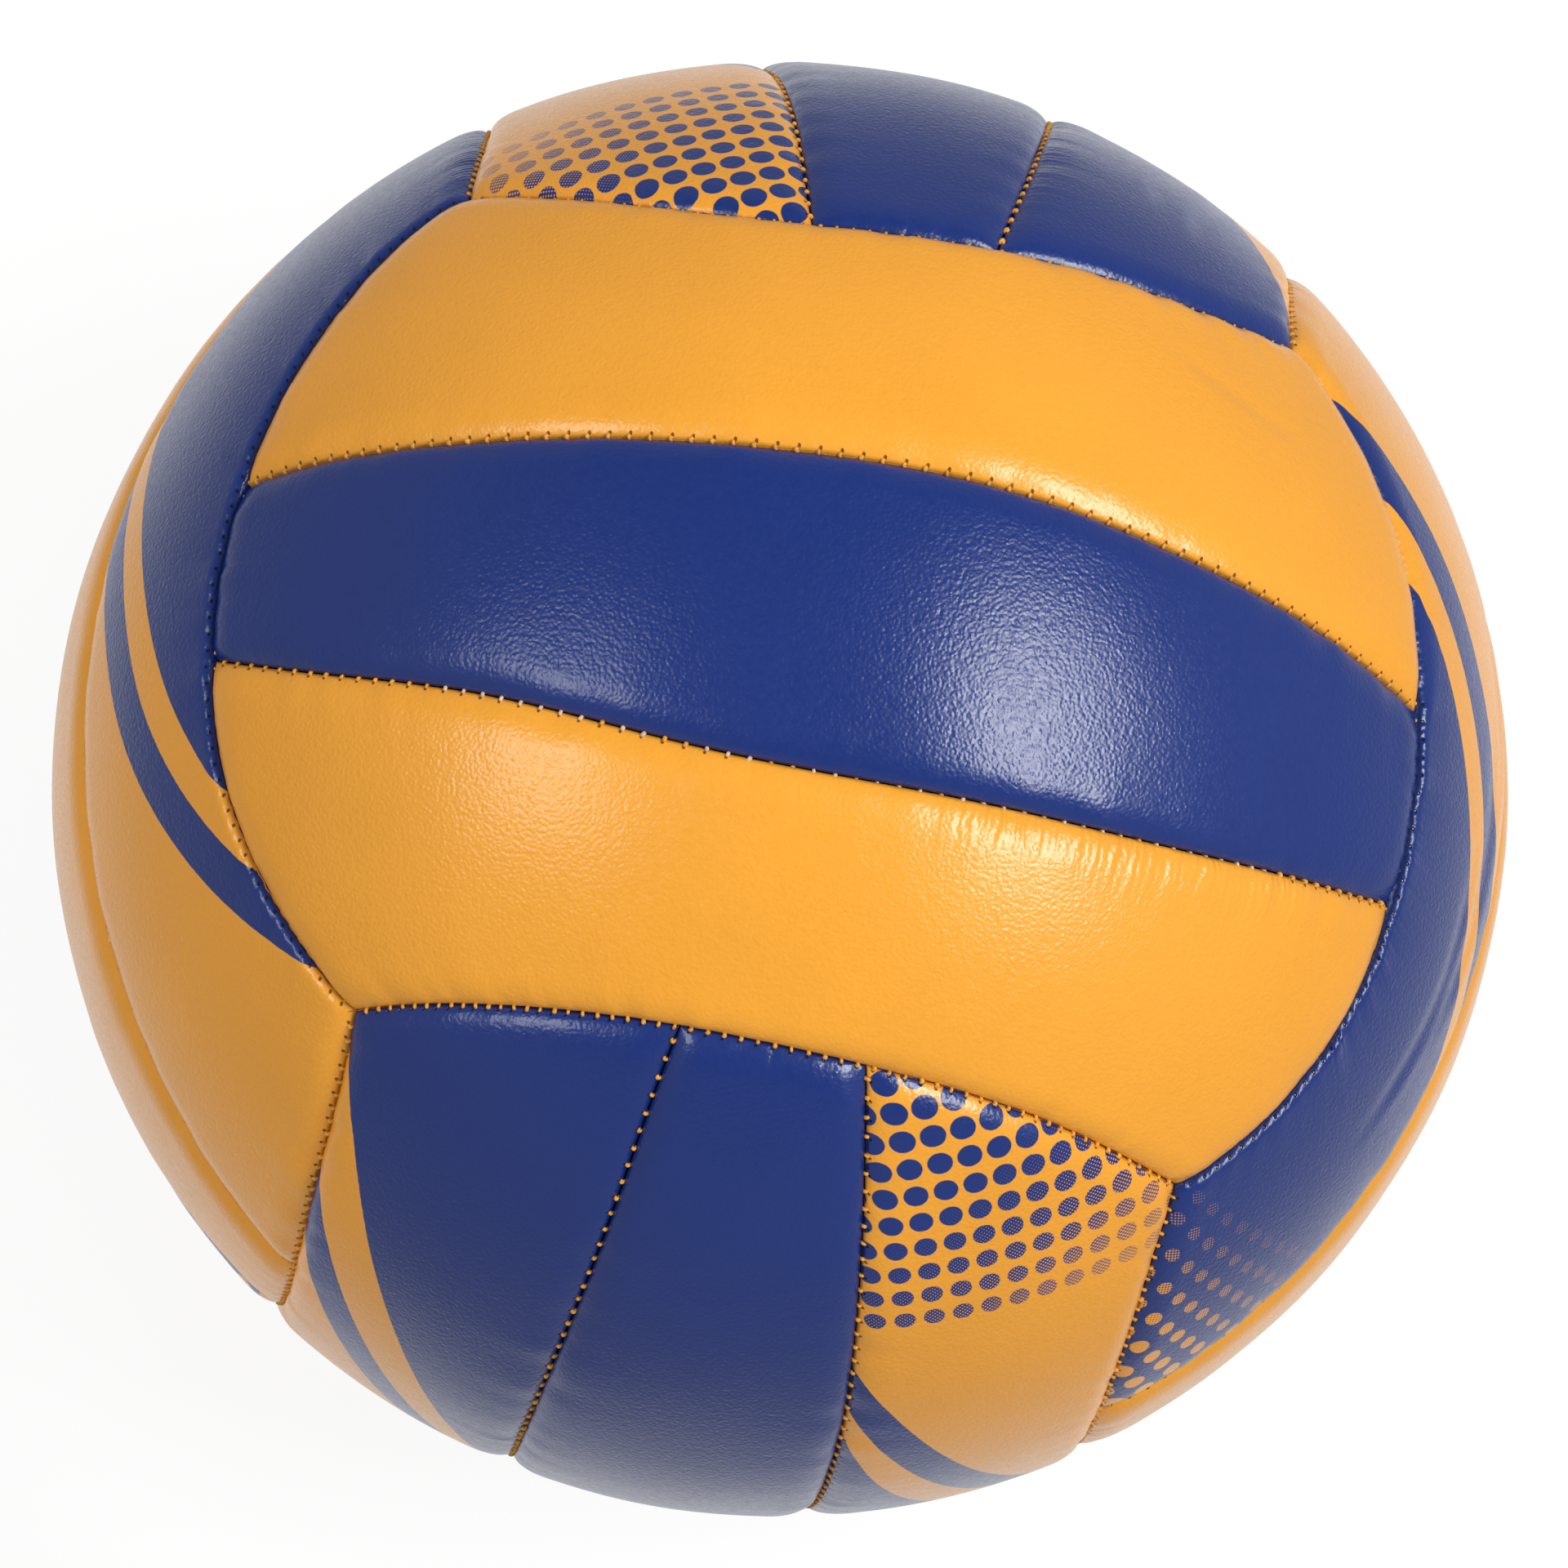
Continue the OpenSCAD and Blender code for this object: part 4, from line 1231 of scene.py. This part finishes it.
class VOLLEYBALL_OT_inner(Operator):
    """Gives the bladder, its patch and the valve their rubber finishes"""
    bl_idname = "volleyball.inner"
    bl_label = "Bladder and Valve"

    def execute(self, context):
        own = settings()
        bladder, valve = tuple(own.colours.bladder), tuple(own.colours.valve)
        # Each finish: its name, colour and roughness, the size and depth of its grain in mm, and
        # the scale of its patches
        finishes = {
            "bladder": ("Butyl rubber, dipped", bladder, 0.55, 1.6, 0.02, 30.0),
            "bladder_patch": ("Butyl rubber, sheet", linear("3A3A3C"), 0.6, 0.8, 0.03),
            "valve_housing": ("Natural rubber, moulded", valve, 0.5, 0.6, 0.02),
            "valve_core": ("Soft gum rubber", linear("8A7C66"), 0.6, 0.4, 0.02),
        }
        for node, finish in finishes.items():
            material = plain_material(*finish)
            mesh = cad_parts[node].data
            if not mesh.materials:
                mesh.materials.append(material)
            for k in range(len(mesh.materials)):
                mesh.materials[k] = material
        return {"FINISHED"}


WHITE = (1, 1, 1, 1)
# The camera's sensor in mm, the photograph's width in pixels, and how many of these the ball is
# left of its middle and below it
SENSOR, FRAME_PIXELS, BALL_LEFT, BALL_LOW = 36, 1920, 5, 6
# Soft boxes, placed by their reflections in the skins: the way to each from the ball (right, up and
# towards the camera), and its distance, width and height in metres
LAMPS = (
    ("Right lamp", (0.62, 0.10, 0.77), 1.25, (0.27, 0.78)),
    ("Left lamp", (-0.58, 0.12, 0.82), 1.35, (0.36, 0.56)),
)
# How far the floor reaches each way, and how far behind the ball its painted pool of light is
# centred
FLOOR_HALF, POOL_BACK = 4, 0.04


class VOLLEYBALL_OT_stage(Operator):
    """Sets the floor, the lights and the camera"""
    bl_idname = "volleyball.stage"
    bl_label = "Floor, Lights and Camera"

    def execute(self, context):
        own = settings().stage
        scene = context.scene
        scene.view_settings.view_transform = "Standard"
        radius = settings().sizes.diameter / 2
        right, up = Vector(VIEW[0]), Vector(VIEW[1])
        back = right.cross(up).normalized()
        up = back.cross(right)
        turn = Matrix((right, up, back)).transposed()

        # The photograph's frame has the ball a few pixels left of its middle and below it
        pixel = own.distance / (own.lens / SENSOR * FRAME_PIXELS)
        eye = back * own.distance + right * BALL_LEFT * pixel + up * BALL_LOW * pixel
        lens = bpy.data.cameras.new("Camera")
        lens.lens, lens.sensor_width, lens.clip_start, lens.clip_end = own.lens, SENSOR, 0.05, 50
        camera = bpy.data.objects.new("Camera", lens)
        camera.matrix_world = Matrix.Translation(eye) @ turn.to_4x4()
        scene.collection.objects.link(camera)
        scene.camera = camera

        # Two soft boxes beside the camera
        for (label, heading, distance, size), power in zip(LAMPS, (own.key_power, own.fill_power)):
            lamp = bpy.data.lights.new(label, "AREA")
            lamp.shape, lamp.size, lamp.size_y, lamp.energy = "RECTANGLE", size[0], size[1], power
            obj = bpy.data.objects.new(label, lamp)
            spot = turn @ Vector(heading).normalized() * distance
            facing = spot.normalized()
            flat = up.cross(facing).normalized()
            obj.matrix_world = Matrix.Translation(spot) @ Matrix(
                (flat, facing.cross(flat), facing)).transposed().to_4x4()
            scene.collection.objects.link(obj)

        # Grey walls and a darker ceiling for the eye and for reflections, and even light from all
        # round on the object
        world = bpy.data.worlds.new("Grey studio")
        scene.world = world
        world.use_nodes = True
        tree = world.node_tree
        tree.nodes.clear()
        seen = self.seen_directly(tree)
        place = add_node(tree, "ShaderNodeTexCoord").outputs["Generated"]
        height = add_node(tree, "ShaderNodeSeparateXYZ", {0: place}).outputs[2]
        walls = add_node(tree, "ShaderNodeMapRange", {
            "Value": height, "From Min": 0.2, "From Max": 0.7, "To Min": 0.34, "To Max": 0.1},
            interpolation_type="SMOOTHSTEP")
        light = add_node(tree, "ShaderNodeBackground", {0: WHITE, 1: own.sky})
        room = add_node(tree, "ShaderNodeBackground", {0: WHITE, 1: walls})
        both = add_node(tree, "ShaderNodeMixShader", {0: seen, 1: light, 2: room})
        add_node(tree, "ShaderNodeOutputWorld", {0: both})

        # Grey painted board that takes the ball's shadow. Round the ball a painted pool of light
        # makes it white to the eye and in reflections, which puts no light on the ball, and it
        # fades to grey further out.
        material, tree = blank_material("Painted floor board")
        place = add_node(tree, "ShaderNodeTexCoord").outputs["Object"]
        patches = add_node(tree, "ShaderNodeTexNoise", {"Vector": place, "Scale": 6.0})
        tone = add_node(tree, "ShaderNodeMapRange", {
            "Value": patches.outputs["Fac"], "To Min": 0.21, "To Max": 0.24})
        paint = add_node(tree, "ShaderNodeBsdfDiffuse", {0: tone})
        low = -radius + settings().sizes.rest_flat
        reach = add_node(tree, "ShaderNodeVectorMath", {0: place, 1: (0.0, POOL_BACK, low)},
                         operation="DISTANCE").outputs["Value"]
        fade = add_node(tree, "ShaderNodeMapRange", {
            "Value": reach, "From Min": 0.15, "From Max": 0.34, "To Min": 0.84, "To Max": 0.2},
            interpolation_type="SMOOTHSTEP")
        seen = self.seen_directly(tree)
        # Painted pool of light: a glow seen by the eye and in reflections only
        glow = add_node(tree, "ShaderNodeMath", {0: seen, 1: fade}, operation="MULTIPLY")
        shine = add_node(tree, "ShaderNodeEmission", {0: WHITE, 1: glow})
        total = add_node(tree, "ShaderNodeAddShader", {0: paint, 1: shine})
        add_node(tree, "ShaderNodeOutputMaterial", {0: total})
        corners = np.array([(-1, -1), (1, -1), (1, 1), (-1, 1)]) * FLOOR_HALF / MM
        points = np.concatenate([corners, np.full((4, 1), low / MM)], 1)
        floor = new_mesh_object("Floor", points, [[0, 1, 2, 3]], material)
        return {"FINISHED"}

    @staticmethod
    def seen_directly(tree):
        """1 for rays from the eye, reflected and refracted ones too, and 0 for light on things."""
        path = add_node(tree, "ShaderNodeLightPath")
        first = add_node(tree, "ShaderNodeMath", {
            0: path.outputs["Is Camera Ray"], 1: path.outputs["Is Glossy Ray"]}, operation="ADD")
        return add_node(tree, "ShaderNodeMath", {
            0: first, 1: path.outputs["Is Transmission Ray"]},
            operation="ADD", use_clamp=True)


class VolleyballSettings(PropertyGroup):
    """Everything that can be changed"""
    sizes: PointerProperty(type=BallSizes)
    stitches: PointerProperty(type=StitchSizes)
    colours: PointerProperty(type=BallColours)
    stage: PointerProperty(type=StageSettings)


class VOLLEYBALL_PT_panel(Panel):
    """Lists the steps that dress the ball"""
    bl_label = "Volleyball"
    bl_space_type = "VIEW_3D"
    bl_region_type = "UI"
    bl_category = "Volleyball"

    def draw(self, context):
        own = settings()
        for group in (own.sizes, own.stitches, own.colours, own.stage):
            box = self.layout.box()
            for key in group.bl_rna.properties.keys():
                if key not in ("rna_type", "name"):
                    box.prop(group, key)
        for step in STEPS:
            self.layout.operator(step.bl_idname)


STEPS = (
    VOLLEYBALL_OT_stage, VOLLEYBALL_OT_skins, VOLLEYBALL_OT_foam,
    VOLLEYBALL_OT_stitches, VOLLEYBALL_OT_inner,
)
CLASSES = (
    BallSizes, StitchSizes, BallColours, StageSettings, VolleyballSettings,
    *STEPS, VOLLEYBALL_PT_panel,
)


def register():
    for cls in CLASSES:
        bpy.utils.register_class(cls)
    bpy.types.Scene.volleyball = PointerProperty(type=VolleyballSettings)


def unregister():
    del bpy.types.Scene.volleyball
    for cls in reversed(CLASSES):
        bpy.utils.unregister_class(cls)


def main():
    register()
    bpy.ops.volleyball.stage()
    bpy.ops.volleyball.skins()
    bpy.ops.volleyball.foam()
    bpy.ops.volleyball.stitches()
    bpy.ops.volleyball.inner()


if __name__ == "__main__":
    main()
